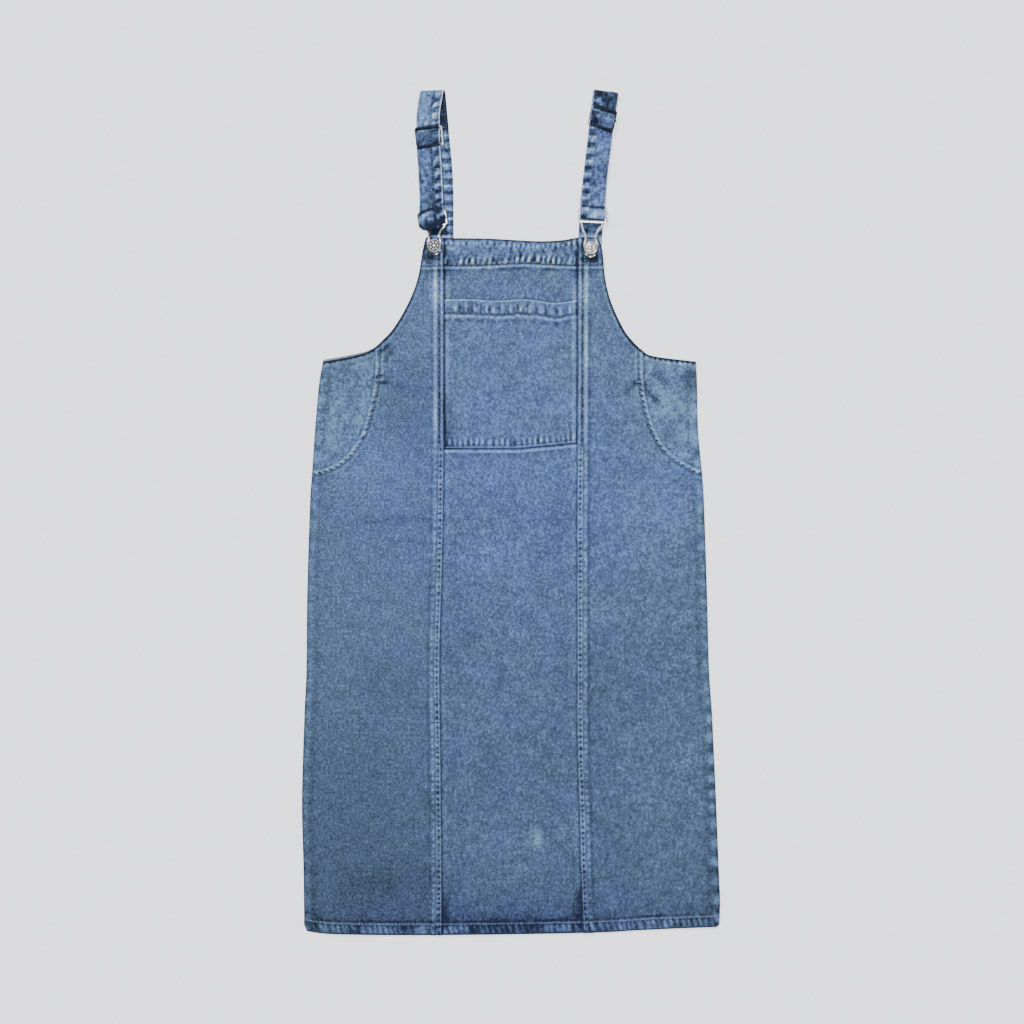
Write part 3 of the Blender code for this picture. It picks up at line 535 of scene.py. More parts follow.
# ------------------------------------------------------------------ lie of the layers
def crown(points):
    """The front's soft rise, faint folds and slow waves, nothing at its edges."""
    cloth = settings("cloth")
    x, y = points[:, 0], points[:, 1]
    t = np.clip(nearest(points, np.vstack([FRONT, FRONT[:1]])[::3])[0] / CROWN_RUN, 0, 1)
    z = np.full(len(points), cloth.crown / MM)
    for fold in FOLDS:
        u, v = across_and_along(points, fold)
        z += fold.height * np.exp(-(u**2) - v**2)
    slow = uneven(x / 62, y / 95, 1) + 0.6 * uneven(x / 33 + y / 90, y / 47, 2)
    z += cloth.ripple / MM * slow
    return z * t * t * (3 - 2 * t)


def height_over(line, points):
    """How far each point is above a line that runs across the dress."""
    return points[:, 1] - y_at(line, points[:, 0])


def depth_under(line, points):
    return y_at(line, points[:, 0]) - points[:, 1]


hem_height = functools.partial(height_over, HEM_LINE)
foot_height = functools.partial(height_over, POCKET_FOOT_LINE)
bib_depth = functools.partial(depth_under, BIB_LINE)
row_depth = functools.partial(depth_under, BIB_ROW_LINE)
pocket_depth = functools.partial(depth_under, POCKET_TOP_LINE)


def within_seams(points):
    """How far each point is inside the nearer of the long front seams."""
    x, y = points[:, 0], points[:, 1]
    return np.minimum(x - x_at(SEAM["left"], y), x_at(SEAM["right"], y) - x)


def back_thickness(points):
    hem = ramp(hem_height(points) - HEM_DEPTH, 0, 1)
    band = ramp(BACK_TOP - BACK_BAND_DEPTH - points[:, 1], 0, 1)
    return CLOTH * (1 + np.maximum(hem, band))


def front_underside(points):
    """The height that a front piece lies at on the back panel."""
    over_hem = ramp(hem_height(points) - HEM_DEPTH)
    over_band = ramp(BACK_TOP - BACK_BAND_DEPTH - points[:, 1])
    return CLOTH + GAP + CLOTH * np.maximum(over_hem, over_band) + crown(points)


def front_thickness(points):
    hem = ramp(hem_height(points) - HEM_DEPTH, -2.2, 0)
    band = ramp(row_depth(points) - 1, -1.5, 0.5)
    return CLOTH * (1 + np.maximum(hem, band))


def pocket_underside(points):
    return front_underside(points) + CLOTH + GAP


def pocket_thickness(points):
    """Two layers in the pocket's hem, one under the side panels' laps."""
    hem = ramp(pocket_depth(points) - POCKET_HEM_DEPTH, -2, 0)
    return CLOTH * (1 + hem * ramp(-within_seams(points), -3, -1))


def side_underside(side):
    """A side panel lies on the back, and climbs over the centre panel, bib pocket and facing."""

    def height(points):
        outside = SIGN[side] * (points[:, 0] - x_at(SEAM[side], points[:, 1])) - LAP
        below_band = row_depth(points) - 1.5
        over_centre = np.maximum(ramp(outside), ramp(below_band, 1, 20))
        centre = CLOTH * (1 + np.maximum(
            ramp(below_band), ramp(hem_height(points) - HEM_DEPTH)))
        off_pocket = np.maximum(-pocket_depth(points), -foot_height(points))
        ring = scoop_ring(side, LAP)
        off_facing = np.where(inside(points, ring), 0, nearest(points, ring)[0])
        return (front_underside(points) + over_centre * (centre + GAP)
                + (ramp(outside) * ramp(off_pocket) + ramp(off_facing)) * (CLOTH + GAP))

    return height


# ------------------------------------------------------------------ relief, wear and painted shade
# Each function gives two columns: height in mm, and wash, where above 0 is paler. The wash holds
# the stone wash's wear and, with it, painted shade in troughs, grooves and along edges, and painted
# highlight on ridges and lit edges. The numbers in them are distances in mm and strengths, of which
# 1 is a clear mark.
def both(height, wash):
    return np.stack([height, wash], axis=1)


def creases(points):
    """Marks of their own, and how pale the dress is at each height."""
    height = np.zeros(len(points))
    wash = np.interp(points[:, 1], [w.y for w in TONE_BY_HEIGHT[::-1]], [w.z for w in TONE_BY_HEIGHT[::-1]])
    for crease in CREASES:
        u, v = across_and_along(points, crease)
        shape = np.exp(-(u**4) - v**2)
        height += crease.height * shape
        wash += crease.wash * shape
    return both(height, wash)


def princess_seam(distance, along, seed):
    """A felled seam, from its edge outwards: painted shade, a pale line, dark pits of stitches, a
    worn ridge.

    Beside the bib the pits run together in a dark hollow, and the ridge is smoother and paler.
    The pale lines and the ridge are partly wear and partly painted highlight, and the pits and the
    hollow are painted shade.
    """
    pits, lumps = bars(along, 7.2, seed, 0.5), bars(along, 8.6, seed + 2, 0.6)
    short, slow = wavy(along / 4.2, seed + 4), wavy(along / 36, seed + 5)
    low = rise(along, *BIB_ALONG)
    pit = np.maximum(pits, 0)
    inner, outer = bell(distance, 1.8, 1.0), bell(distance, 6.3, 1.1)
    middle, hollow = bell(distance, 4.1, 1.8), bell(distance, 6.4, 1.8)
    ridge = bell(distance, 11.0 - 0.3 * low, 2.9 - 0.7 * low)
    height = (0.25 * inner + 0.34 * ridge * (0.8 + 0.3 * lumps)
              + low * (0.25 * outer - 0.5 * middle * pit) - (1 - low) * 0.4 * hollow
              - 0.12 * bell(distance, 15.5, 1.5)
              + 0.16 * wavy(along / 9, seed + 7) * ramp(distance, 8, 34))
    wash_low = (inner * (0.85 + 0.5 * short) + outer * (0.8 + 0.45 * short)
                + middle * (0.48 - 3.2 * pit + 0.4 * short) - 0.8 * bell(distance, 8.3, 1.1)
                + ridge * (0.52 + 0.6 * lumps + 0.45 * slow))
    wash_high = (1.25 * bell(distance, 2.9, 1.15) * (0.85 + 0.5 * pits)
                 - hollow * (1.05 + 0.6 * short + 0.5 * pits)
                 + ridge * (1.2 + 0.3 * short + 0.15 * lumps + 0.45 * slow))
    wash = (wash_low * low + wash_high * (1 - low) - 0.4 * bell(distance, 15.2, 1.6)
            - (0.65 - 0.1 * low) * ramp(distance, 0.3, 1.4)
            + 0.3 * uneven(along / 7, distance / 6, seed + 8) * ramp(distance, 14, 30))
    return both(height, wash)


def beside_seam(distance, along, seed):
    """On the cloth that a turned edge lies over: a dark line in its shadow, then a worn line."""
    fine = wavy(along / 5.5, seed)
    low = rise(along, *BIB_ALONG)
    height = -0.3 * ramp(distance, 0.6, 2.4) + 0.16 * bell(distance, 4.8, 1.6)
    shadow = ramp(distance, 0.8 - 0.3 * low, 2.3 - 0.4 * low) * (1 + 0.25 * fine)
    worn = bell(distance, 4.9, 1.7) * (1 + 0.4 * fine)
    return both(height, (0.75 - 0.5 * low) * worn - (1.35 - 0.8 * low) * shadow)


def under_opening(distance, along, seed):
    """On the facing: a little shade beside the pocket opening's edge."""
    fine = wavy(along / 7, seed)
    return both(-0.2 * ramp(distance, 0.5, 2.5), -0.35 * ramp(distance, 0.4, 2.6) * (1 + fine))


def scoop_edge(distance, along, seed):
    """The turned edge of a pocket opening: a pale roped band, partly wear and partly painted
    highlight, then a dark stitched groove in painted shade.
    """
    ticks, short = bars(along + 0.8 * distance, 7.4, seed, 0.6), wavy(along / 8, seed + 1)
    fleck = uneven(along / 2.6, distance / 2.2, seed + 2)
    open_part = rise(along, 40, 62)
    pillow, groove = bell(distance, 3.0, 2.2), bell(distance, 7.1, 1.25)
    pit = np.maximum(ticks, 0) * bell(distance, 5.0, 1.9) * (0.3 + 0.7 * open_part)
    height = (0.3 * pillow * (0.8 + 0.4 * ticks * open_part) - 0.4 * groove - 0.4 * pit
              + 0.14 * short * ramp(distance, 8, 20))
    wash = (pillow * (1.15 - 0.45 * ticks * open_part + 0.3 * short + 0.45 * fleck) - 2.5 * pit
            - groove * (0.9 + 0.3 * short)
            + bell(distance, 9.8, 1.4) * (0.9 - 0.65 * open_part) * (1 + 0.6 * ticks)
            - 0.5 * ramp(distance, 0.2, 1.2) * (1 - open_part))
    return both(height, wash)


def armhole_edge(distance, along, seed, puckers, points):
    """A narrow rolled edge in painted shade, near black where it turns and widest low down, with
    puckers inside.
    """
    short = bars(along, 7.4, seed + 1, 0.5)
    low = 1 - rise(points[:, 1], 225, 300)
    wide = 1.1 + (1.5 - puckers) * low + 2.8 * puckers * np.maximum(short, 0)
    height = (0.2 * bell(distance, 2.4, 1.5) - 0.22 * bell(distance, 5.2, 1.1)
              + puckers * 0.3 * short * ramp(distance, 2, 10))
    wash = (-2.3 * ramp(distance, wide - 0.4, wide + 1.3) * (1 + 0.35 * puckers * short)
            + bell(distance, 5.4, 1.5) * (0.3 - 1.9 * puckers * np.minimum(short, 0))
            - 0.25 * bell(distance, 8.2, 1.6))
    return both(height, wash)


def hem_band(points, seed=3):
    """Roping between the hem's fold and its stitch row, uneven and darkest at the middle, with
    painted shade along the fold.
    """
    x, up = points[:, 0], hem_height(points)
    rope = bars(x + 0.3 * up, 7.8, seed, 0.8) * (1 - 0.2 * bell(up, 0, 5))
    patch, block = uneven(x / 4.2 + up / 9, up / 5, seed + 1), wavy(x / 12, seed + 4)
    slow = wavy(x / 42, seed + 5)
    dashes = bars(x, 5.4, seed + 2)
    row = up - HEM_ROW - 0.6 * wavy(x / 26, seed + 6)
    band = rise(up, 1.2, 3.4) * (1 - rise(row, -2.6, -1.0))
    dark = np.interp(x, (-265, -110, -50, 60, 115, 265), (-0.2, -0.35, -0.65, -0.6, -0.2, 0.0))
    relief = ((0.45 * rope + 0.25 * block) * band - 0.4 * bell(row, 0, 1.0)
              + 0.14 * patch * bell(row, 5, 4))
    wash = ((rope * (0.8 + 0.5 * slow) + 0.85 * block + 0.6 * patch + 0.1) * band
            + dark * ramp(up, 15, 30) - 1.2 * ramp(up, 0.6, 2.4)
            + 0.75 * bell(row, 0.2, 1.25) * (0.6 + 0.5 * dashes + 0.6 * block)
            - 0.9 * bell(row, 2.9, 1.2) * (0.7 + 0.8 * wavy(x / 12, seed + 3))
            - 0.5 * bell(row, -2.2, 1.2) * (1 - dashes)
            + 0.3 * bell(row, 7, 4) * (patch + 0.6 * block))
    return both(relief, wash)


def bib_band(points, seed=21):
    """Crosswise puckers at the bib's turned top and above the band's stitch row, with painted shade
    along the top edge and in the row's groove.
    """
    x, depth, row = points[:, 0], bib_depth(points), row_depth(points)
    bent = 1.6 * uneven(x / 11, row / 9, seed + 7)
    top = bars(x + bent, 6.6, seed, 0.8) * (0.8 + 0.5 * wavy(x / 10, seed + 8))
    low = (bars(x + 0.22 * row + bent, 7.2, seed + 1, 0.9)
           * (0.75 + 0.5 * uneven(x / 9, row / 8, seed + 9)))
    patch, wide = uneven(x / 3.4, row / 6, seed + 2), wavy(x / 15, seed + 3)
    band = 1 - rise(row, -1.6, -0.4)
    at_top, at_row = bell(depth, 6.6, 2.7) * band, bell(row, -6.6, 5.0) * band
    relief = (0.3 * top * at_top + 0.55 * low * at_row - 0.4 * bell(row, -0.4, 1.1)
              + 0.15 * low * bell(row, 5, 3))
    wash = (at_top * (0.3 + 2.1 * top + 0.75 * patch) + at_row * (3.0 * low + 1.3 * patch)
            + 0.9 * bell(depth, 14, 7) * patch * band - 1.7 * ramp(depth, 1.1, 3.0)
            + 0.7 * band * uneven(x / 2.2, depth / 2.6, seed + 6)
            - 1.4 * bell(row, -0.9, 1.1)
            + 1.6 * bell(row, 1.5, 1.25) * (0.85 + 0.25 * wide + 0.3 * top)
            - 1.25 * bell(row, 5.4, 1.8) * (0.5 + 0.9 * wavy(x / 6, seed + 4)))
    return both(relief, wash)


def pocket_hem(points, seed=31):
    """The bib pocket's turned top: a painted highlight on its upper edge, upright puckers, painted
    shade in its row's groove and a paler line under its row.
    """
    x, depth = points[:, 0], pocket_depth(points)
    low = 0.65 * bars(x + 0.1 * depth, 12.5, seed, 0.8) + 0.5 * bars(x, 6.1, seed + 1, 0.6)
    patch, wide = uneven(x / 3.2, depth / 4, seed + 2), wavy(x / 8, seed + 3)
    at_row = bell(depth, 12.0, 5.6) * (1 - rise(depth, POCKET_HEM_ROW - 1.5, POCKET_HEM_ROW))
    line = depth - POCKET_HEM_ROW - 0.7 * wide
    relief = 0.45 * low * at_row - 0.4 * bell(line, 0, 1.1) + 0.25 * bell(line, 4.2, 2) * (1 + wide)
    wash = (at_row * (1.6 * low + 0.75 * patch + 0.1)
            + 1.3 * ramp(depth, 0.9, 2.9) * (0.9 + 0.3 * wide)
            + 0.4 * uneven(x / 2.4, depth / 3, seed + 7) * ramp(depth, 17, 21)
            - 1.9 * bell(line, 0.2, 1.15) * (0.9 + 0.3 * patch)
            + 1.25 * bell(line, 4.3, 1.8) * (0.75 + 0.45 * bars(x, 8.6, seed + 5))
            + 0.3 * bell(line, 2.2, 1.5) * patch
            - 0.85 * bell(line, 9.4, 2.6) * (0.55 + 0.75 * bars(x, 14, seed + 6)))
    return both(relief, wash)


def pocket_foot(points, seed=41):
    """Upright puckers over the bib pocket's lower edge, painted shade along that edge, and its dark
    left corner.
    """
    x, above = points[:, 0], foot_height(points)
    upright, patch = bars(x, 7.5, seed, 0.5), uneven(x / 3, above / 5, seed + 1)
    near = bell(above, 8.0, 4.6)
    relief = 0.4 * upright * near - 0.3 * bell(above, 2.6, 1.2)
    wash = (near * (1.35 * upright + 0.55 * patch + 0.1) - 0.9 * ramp(above, 0.9, 2.2)
            + 0.35 * bell(above, 3.1, 0.9) - 0.9 * bell(above, 4.6, 0.9)
            - 1.1 * bell(x, -86, 11) * bell(above, 4, 24))
    return both(relief, wash)


def under_pocket(points, seed=45):
    """On the centre panel: the shadow of the pocket's lower edge, and the paler ridge below it."""
    below, fine = -foot_height(points), wavy(points[:, 0] / 4, seed)
    height = 0.35 * bell(below, 3.6, 1.6) - 0.2 * bell(below, 0.3, 1.0)
    wash = (1.35 * bell(below, 3.5, 1.45) * (0.85 + 0.35 * fine) - 0.6 * ramp(below, 0.4, 1.6)
            - 0.35 * bell(below, 7.6, 2.0) * (1 + fine))
    return both(height, wash * rise(below, -6, -2))


def side_seam(distance, along, seed, strength):
    """The plain side seam at the dress's edge, with slow puckers and painted shade along the edge.
    """
    slow, fine = bars(along, 23, seed, 0.6), wavy(along / 4, seed + 1)
    height = strength * 0.35 * slow * ramp(distance, 1, 22)
    wash = (strength * 0.85 * slow * ramp(distance, 1, 15) - 0.7 * ramp(distance, 0.3, 2.6)
            + 0.22 * bell(distance, 6, 2.4) * (1 + fine) - 0.3 * bell(distance, 12, 3.0))
    return both(height, wash)


# ------------------------------------------------------------------ cloth surfaces
Surface = namedtuple("Surface", "under thickness relief")


def top_of(surface, points):
    """The height of a surface's upper face, in mm."""
    raised = surface.relief(points)[:, 0] * settings("cloth").pucker
    return surface.under(points) + surface.thickness(points) + raised


def centre_relief(points):
    total = creases(points) + hem_band(points) + bib_band(points) + under_pocket(points)
    for side, seed in zip(SIDES, (51, 57)):
        total += beside_seam(*nearest(points, SEAM[side]), seed)
    depth = pocket_depth(points)
    under = ramp(-foot_height(points), -1.5, 0.5) * ramp(-depth, -2, 0.5)
    total *= (rise(within_seams(points), -3, 0) * (1 - under))[:, None]
    # painted shade on the centre panel just beside the pocket's top edge
    total[:, 1] -= 0.55 * bell(-depth, 0.6, 1.3)
    return total


def side_relief(side):
    seed = by_side(side, 61, 81)

    def relief(points):
        low = by_side(side, 0, 1 - rise(points[:, 1], -330, -230))
        total = (creases(points) + hem_band(points, seed + 1)
                 + princess_seam(*nearest(points, SEAM[side]), seed)
                 + scoop_edge(*nearest(points, SCOOP[side]), seed + 3)
                 + armhole_edge(*nearest(points, ARM[side]), seed + 9, 0.15, points)
                 + side_seam(*nearest(points, SIDE[side]), seed + 11,
                             by_side(side, 0.3, 0.45) + 0.6 * low))
        depth, row = bib_depth(points), row_depth(points)
        patch = uneven(points[:, 0] / 3.6, depth / 4.2, seed + 13)
        # painted shade along the bib's top edge and in the band row's groove, with pale marks
        # beside them
        total[:, 1] += (bell(row, 1.5, 1.3) - 1.2 * bell(row, -0.6, 1.1)
                        - 1.3 * ramp(depth, 0.8, 2.6) + 0.7 * bell(depth, 5.4, 2)
                        - 0.6 * bell(row, 5.4, 2) + 0.75 * patch * ramp(row, -6, 12))
        total[:, 0] += 0.2 * patch * ramp(row, -6, 6) - 0.3 * bell(row, 0, 1.2)
        return total

    return relief


def facing_relief(side):
    seed = by_side(side, 101, 111)

    def relief(points):
        x, y = points[:, 0], points[:, 1]
        total = creases(points) + under_opening(*nearest(points, SCOOP[side]), seed)
        total[:, 1] += (by_side(side, 0.2, 0.45) * uneven(x / 13 + y / 30, y / 15, seed + 7)
                        + 0.4 * uneven(x / 3.6, y / 3.9, seed + 8))
        total *= inside(points, scoop_ring(side, 0))[:, None]
        puckers = by_side(side, 0.25, 1.0)
        return (total + armhole_edge(*nearest(points, ARM[side]), seed + 3, puckers, points)
                + side_seam(*nearest(points, SIDE[side]), seed + 5, 0.5))

    return relief


def pocket_relief(points):
    total = creases(points) + pocket_hem(points) + pocket_foot(points)
    for side, seed in zip(SIDES, (121, 127)):
        total += beside_seam(*nearest(points, SEAM[side]), seed)
    return total * rise(within_seams(points), -3, 0)[:, None]


def back_relief(points):
    """Only its wash, with painted shade along the hem's fold and its stitch row: its sewing is
    pressed flat.
    """
    up = hem_height(points)
    wash = (0.7 * bell(up, HEM_ROW + 2, 1.2) - 1.2 * ramp(up, 0.6, 2.4)
            - 0.6 * bell(up, HEM_ROW, 1.2))
    rope = bars(points[:, 0] + 0.75 * up, 9.6, 7) * rise(up, 1.2, 3.4) * (1 - rise(up, 11, 13))
    return both(0 * up, wash + 0.9 * rope)


def all_over(value):
    return lambda points: np.full(len(points), value)


BACK = Surface(all_over(0.0), back_thickness, back_relief)
CENTRE = Surface(front_underside, front_thickness, centre_relief)
BIB_POCKET = Surface(pocket_underside, pocket_thickness, pocket_relief)
SIDE_PANEL = {s: Surface(side_underside(s), front_thickness, side_relief(s)) for s in SIDES}
FACING = {s: Surface(front_underside, all_over(CLOTH), facing_relief(s)) for s in SIDES}


# ------------------------------------------------------------------ shader arithmetic
class Value:
    """A shader socket that can be used in arithmetic."""

    def __init__(self, shader, socket):
        self.shader, self.socket = shader, socket

    def math(self, operation, *terms):
        return self.shader.node("ShaderNodeMath", {"operation": operation}, dict(enumerate(terms)))

    def __add__(self, other):
        return self.math("ADD", self, other)

    def __radd__(self, other):
        return self.math("ADD", other, self)

    def __sub__(self, other):
        return self.math("SUBTRACT", self, other)

    def __rsub__(self, other):
        return self.math("SUBTRACT", other, self)

    def __mul__(self, other):
        return self.math("MULTIPLY", self, other)

    def __rmul__(self, other):
        return self.math("MULTIPLY", other, self)

    def __truediv__(self, other):
        return self.math("DIVIDE", self, other)

    def sine(self):
        return self.math("SINE", self)

    def between(self, low, high):
        return self.math("MINIMUM", self.math("MAXIMUM", self, low), high)


class Shader:
    """A material's node tree, built from expressions."""

    def __init__(self, name):
        self.material = bpy.data.materials.new(name)
        self.material.use_nodes = True
        self.tree = self.material.node_tree
        self.surface = self.tree.nodes["Principled BSDF"]

    def node(self, kind, options, inputs, output=0):
        made = self.tree.nodes.new(kind)
        for key, value in options.items():
            if key == "stops":
                ramp_stops = made.color_ramp.elements
                while len(ramp_stops) < len(value):
                    ramp_stops.new(1.0)
                for stop, (place, colour) in zip(ramp_stops, value):
                    stop.position, stop.color = place, (*colour, 1)
            else:
                setattr(made, key, value)
        for key, value in inputs.items():
            self.feed(made.inputs[key], value)
        return Value(self, made.outputs[output])

    def feed(self, socket, value):
        if isinstance(value, Value):
            self.tree.links.new(value.socket, socket)
        else:
            socket.default_value = value

    def dress(self, looks):
        """Sets or links sockets of the surface."""
        for name, look in looks.items():
            self.feed(self.surface.inputs[name], look)

    def attribute(self, name, output):
        return self.node("ShaderNodeAttribute", {"attribute_name": name}, {}, output)

    def components(self, vector):
        outputs = self.node("ShaderNodeSeparateXYZ", {}, {0: vector}).socket.node.outputs
        return [Value(self, output) for output in outputs]

    def place(self):
        """Object coordinates, in metres."""
        return self.node("ShaderNodeTexCoord", {}, {}, "Object")

    def stretched(self, vector, factors):
        return self.node("ShaderNodeVectorMath", {"operation": "MULTIPLY"}, {0: vector, 1: factors})

    def noise(self, vector, size, detail=0.0, roughness=0.5):
        """Soft noise about 0, with lumps of about `size` metres."""
        inputs = {"Vector": vector, "Scale": 1 / size, "Detail": detail, "Roughness": roughness}
        return self.node("ShaderNodeTexNoise", {}, inputs) - 0.5

    def mix(self, factor, first, second, blend="MIX"):
        options = {"data_type": "RGBA", "blend_type": blend}
        return self.node("ShaderNodeMix", options, {0: factor, 6: first, 7: second}, 2)

    def bump(self, height, depth, strength):
        inputs = {"Height": height, "Distance": depth, "Strength": strength}
        return self.node("ShaderNodeBump", {}, inputs)


def toned(colour, tone=1.0):
    """A colour with its alpha, darkened by one tone or by one for each channel."""
    tones = tone if isinstance(tone, tuple) else (tone,) * 3
    return (*(t * c for t, c in zip(tones, colour)), 1.0)


def denim(name, tone=0.0, wrong_side=False, drift=1.0):
    """Stone-washed twill: pale and dark specks, slow clouds, diagonal wales, and the wash
    attribute's worn ridges with painted shade and highlight.

    `drift` is how far its hue follows its place: bluer at the bib, greyer low down.
    """
    look = settings("finish")
    s = Shader(name)
    cloth = s.attribute("cloth", "Vector")
    wash = s.attribute("wash", "Fac")
    across, along, _ = s.components(cloth)

    speck = s.noise(s.stretched(cloth, (1.0, 0.86, 1.0)), look.grain, 2.0, 0.72)
    slub = s.noise(s.stretched(cloth, (1.0, 0.2, 1.0)), 1.1 * look.grain, 1.0, 0.5)
    cloud = s.noise(cloth, 5.0 * look.grain, 2.0, 0.55)
    wander = s.noise(cloth, 0.006, 1.0)
    wale_turn = 2 * math.pi / look.wale
    wale = (across * (0.88 * wale_turn) + along * (-0.47 * wale_turn) + wander * 2.2).sine()
    fibre = s.noise(s.stretched(cloth, (1.0, 0.5, 1.0)), 0.55 * MM, 1.0, 0.6)

    value = (0.4 + tone + look.contrast * (speck * 0.86 + slub * 0.14 + cloud * 0.22)
             + wash * 0.26 + wale * 0.018 + fibre * 0.18).between(0.0, 1.0)
    stops = [(0.0, look.deep), (0.2, look.shade), (0.4, look.indigo), (0.55, look.worn),
             (0.8, look.faded), (1.0, look.bleached)]
    colour = s.node("ShaderNodeValToRGB", {"stops": stops}, {0: value})
    lower = (along * -4.0 + 0.1).between(0.0, 1.0)
    bib, hem = ((along - 0.07) * 10.0).between(0.0, 1.0), (along * -14.0 - 6.6).between(0.0, 0.9)
    lie = (lower * (1.0 - hem) * 0.48 + bib * 0.34 + across * across * 7.0 - 0.2) * drift
    hue = (s.noise(cloth, 0.042, 1.0) * 1.15 + lie + 0.55).between(0.0, 1.0)
    tint = s.mix(hue, (1.015, 0.962, 1.16, 1), (0.975, 1.03, 0.85, 1))
    colour = s.mix(1.0, colour, tint, "MULTIPLY")
    if wrong_side:
        undyed = ((wale * 0.25 + speck * 1.6) + 0.55).between(0.0, 1.0)
        colour = s.mix(undyed, colour, toned(look.inside))
    s.dress({
        "Base Color": colour,
        "Roughness": 0.86 + speck * -0.25,
        "Normal": s.bump(wale * 0.22 + fibre * 0.5 + speck * 1.3, 0.16 * MM, 0.8),
        "Specular IOR Level": 0.18, "Sheen Weight": 0.12, "Sheen Roughness": 0.45,
    })
    return s.material


def thread(name):
    """Twisted cotton thread, washed unevenly with the cloth."""
    s = Shader(name)
    place = s.place()
    worn, fuzz = s.noise(place, 4.5 * MM, 1.0), s.noise(place, 0.35 * MM, 1.0)
    pale = (0.5 + worn * 1.4 + fuzz * 0.5).between(0.0, 1.0)
    # the straps' thread is this thread darkened, as painted shade in their grooves
    light = toned(settings("stitch").colour, 0.45 if name == "dark_thread" else 1.0)
    s.dress({
        "Base Color": s.mix(pale, toned(light, 0.55), light),
        "Roughness": 0.75 + fuzz * 0.2,
        "Normal": s.bump(fuzz, 0.1 * MM, 0.6),
        "Sheen Weight": 0.2,
    })
    return s.material


def nickel_with_painted_shade(name):
    """Nickel plate with fine scratches, darkened where its points carry tarnish and painted shade.
    """
    s = Shader(name)
    place = s.place()
    haze = s.noise(place, 5 * MM, 3.0, 0.6)
    scratch = s.noise(s.stretched(place, (1.0, 9.0, 1.0)), 0.8 * MM, 2.0)
    dirt = (s.noise(place, 2.2 * MM, 3.0) * 2.4 + 0.1).between(0.0, 1.0)
    dark = s.attribute("tarnish", "Fac").between(0.0, 1.0)
    steel = toned(settings("finish").steel)
    s.dress({
        "Base Color": s.mix(dark, s.mix(dirt, steel, toned(steel, 0.55)),
                            toned(steel, (0.02, 0.028, 0.045))),
        "Roughness": (0.27 + haze * 0.2 + scratch * 0.12 + dark * 0.4).between(0.08, 0.7),
        "Metallic": 1.0 - dark * 0.85,
        "Normal": s.bump(scratch + haze, 0.03 * MM, 0.6),
        "Specular IOR Level": 0.25,
    })
    return s.material


def floor_material():
    s = Shader("floor")
    stage = settings("stage")
    tooth, colour = s.noise(s.place(), 0.02, 2.0), toned(stage.floor)
    s.dress({
        "Base Color": colour, "Roughness": 0.9 + tooth * 0.05, "Specular IOR Level": 0.0,
        "Emission Color": colour, "Emission Strength": stage.glow,
    })
    return s.material


def material(name, make, *options):
    """A material of that name, made the first time that it is asked for."""
    return bpy.data.materials.get(name) or make(name, *options)


# ------------------------------------------------------------------ meshes
def finished(made, slot, *nodes):
    """Puts a finished piece on the dress's body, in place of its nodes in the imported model."""
    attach(made, "root")
    if nodes:
        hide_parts(*nodes)
    return made


def put(name, data):
    """A new object in the scene, to hold the data."""
    made = bpy.data.objects.new(name, data)
    bpy.context.scene.collection.objects.link(made)
    return made


def add_mesh(name, vertices, faces, materials, smooth_angle=None):
    """A smooth-shaded mesh object from vertices in millimetres."""
    mesh = bpy.data.meshes.new(name)
    mesh.from_pydata((np.asarray(vertices, float) * MM).tolist(), [], faces)
    mesh.validate()
    mesh.shade_smooth()
    if smooth_angle:
        mesh.set_sharp_from_angle(angle=math.radians(smooth_angle))
    for each in materials:
        mesh.materials.append(each)
    return put(name, mesh)


def skin(rings, sides):
    """The faces of a closed solid between rings of points, and its two ends."""
    faces = [tuple(range(sides)), tuple(range((rings - 1) * sides, rings * sides))[::-1]]
    for k in range(rings - 1):
        for i in range(sides):
            j = (i + 1) % sides
            faces.append((k * sides + i, (k + 1) * sides + i, (k + 1) * sides + j, k * sides + j))
    return faces


def give(mesh, name, kind, values):
    """Stores a value for each of the mesh's points."""
    attribute = mesh.attributes.new(name, kind, "POINT")
    key = "vector" if kind == "FLOAT_VECTOR" else "value"
    attribute.data.foreach_set(key, np.asarray(values, np.float32).ravel())


def lattice(low, high, spacing):
    """A lattice of even triangles over a box."""
    step = spacing * math.sqrt(3) / 2
    rows = range(math.floor(low[1] / step), math.ceil(high[1] / step) + 1)
    columns = range(math.floor(low[0] / spacing), math.ceil(high[0] / spacing) + 1)
    return np.array([((i + 0.5 * (j % 2)) * spacing, j * step) for j in rows for i in columns])


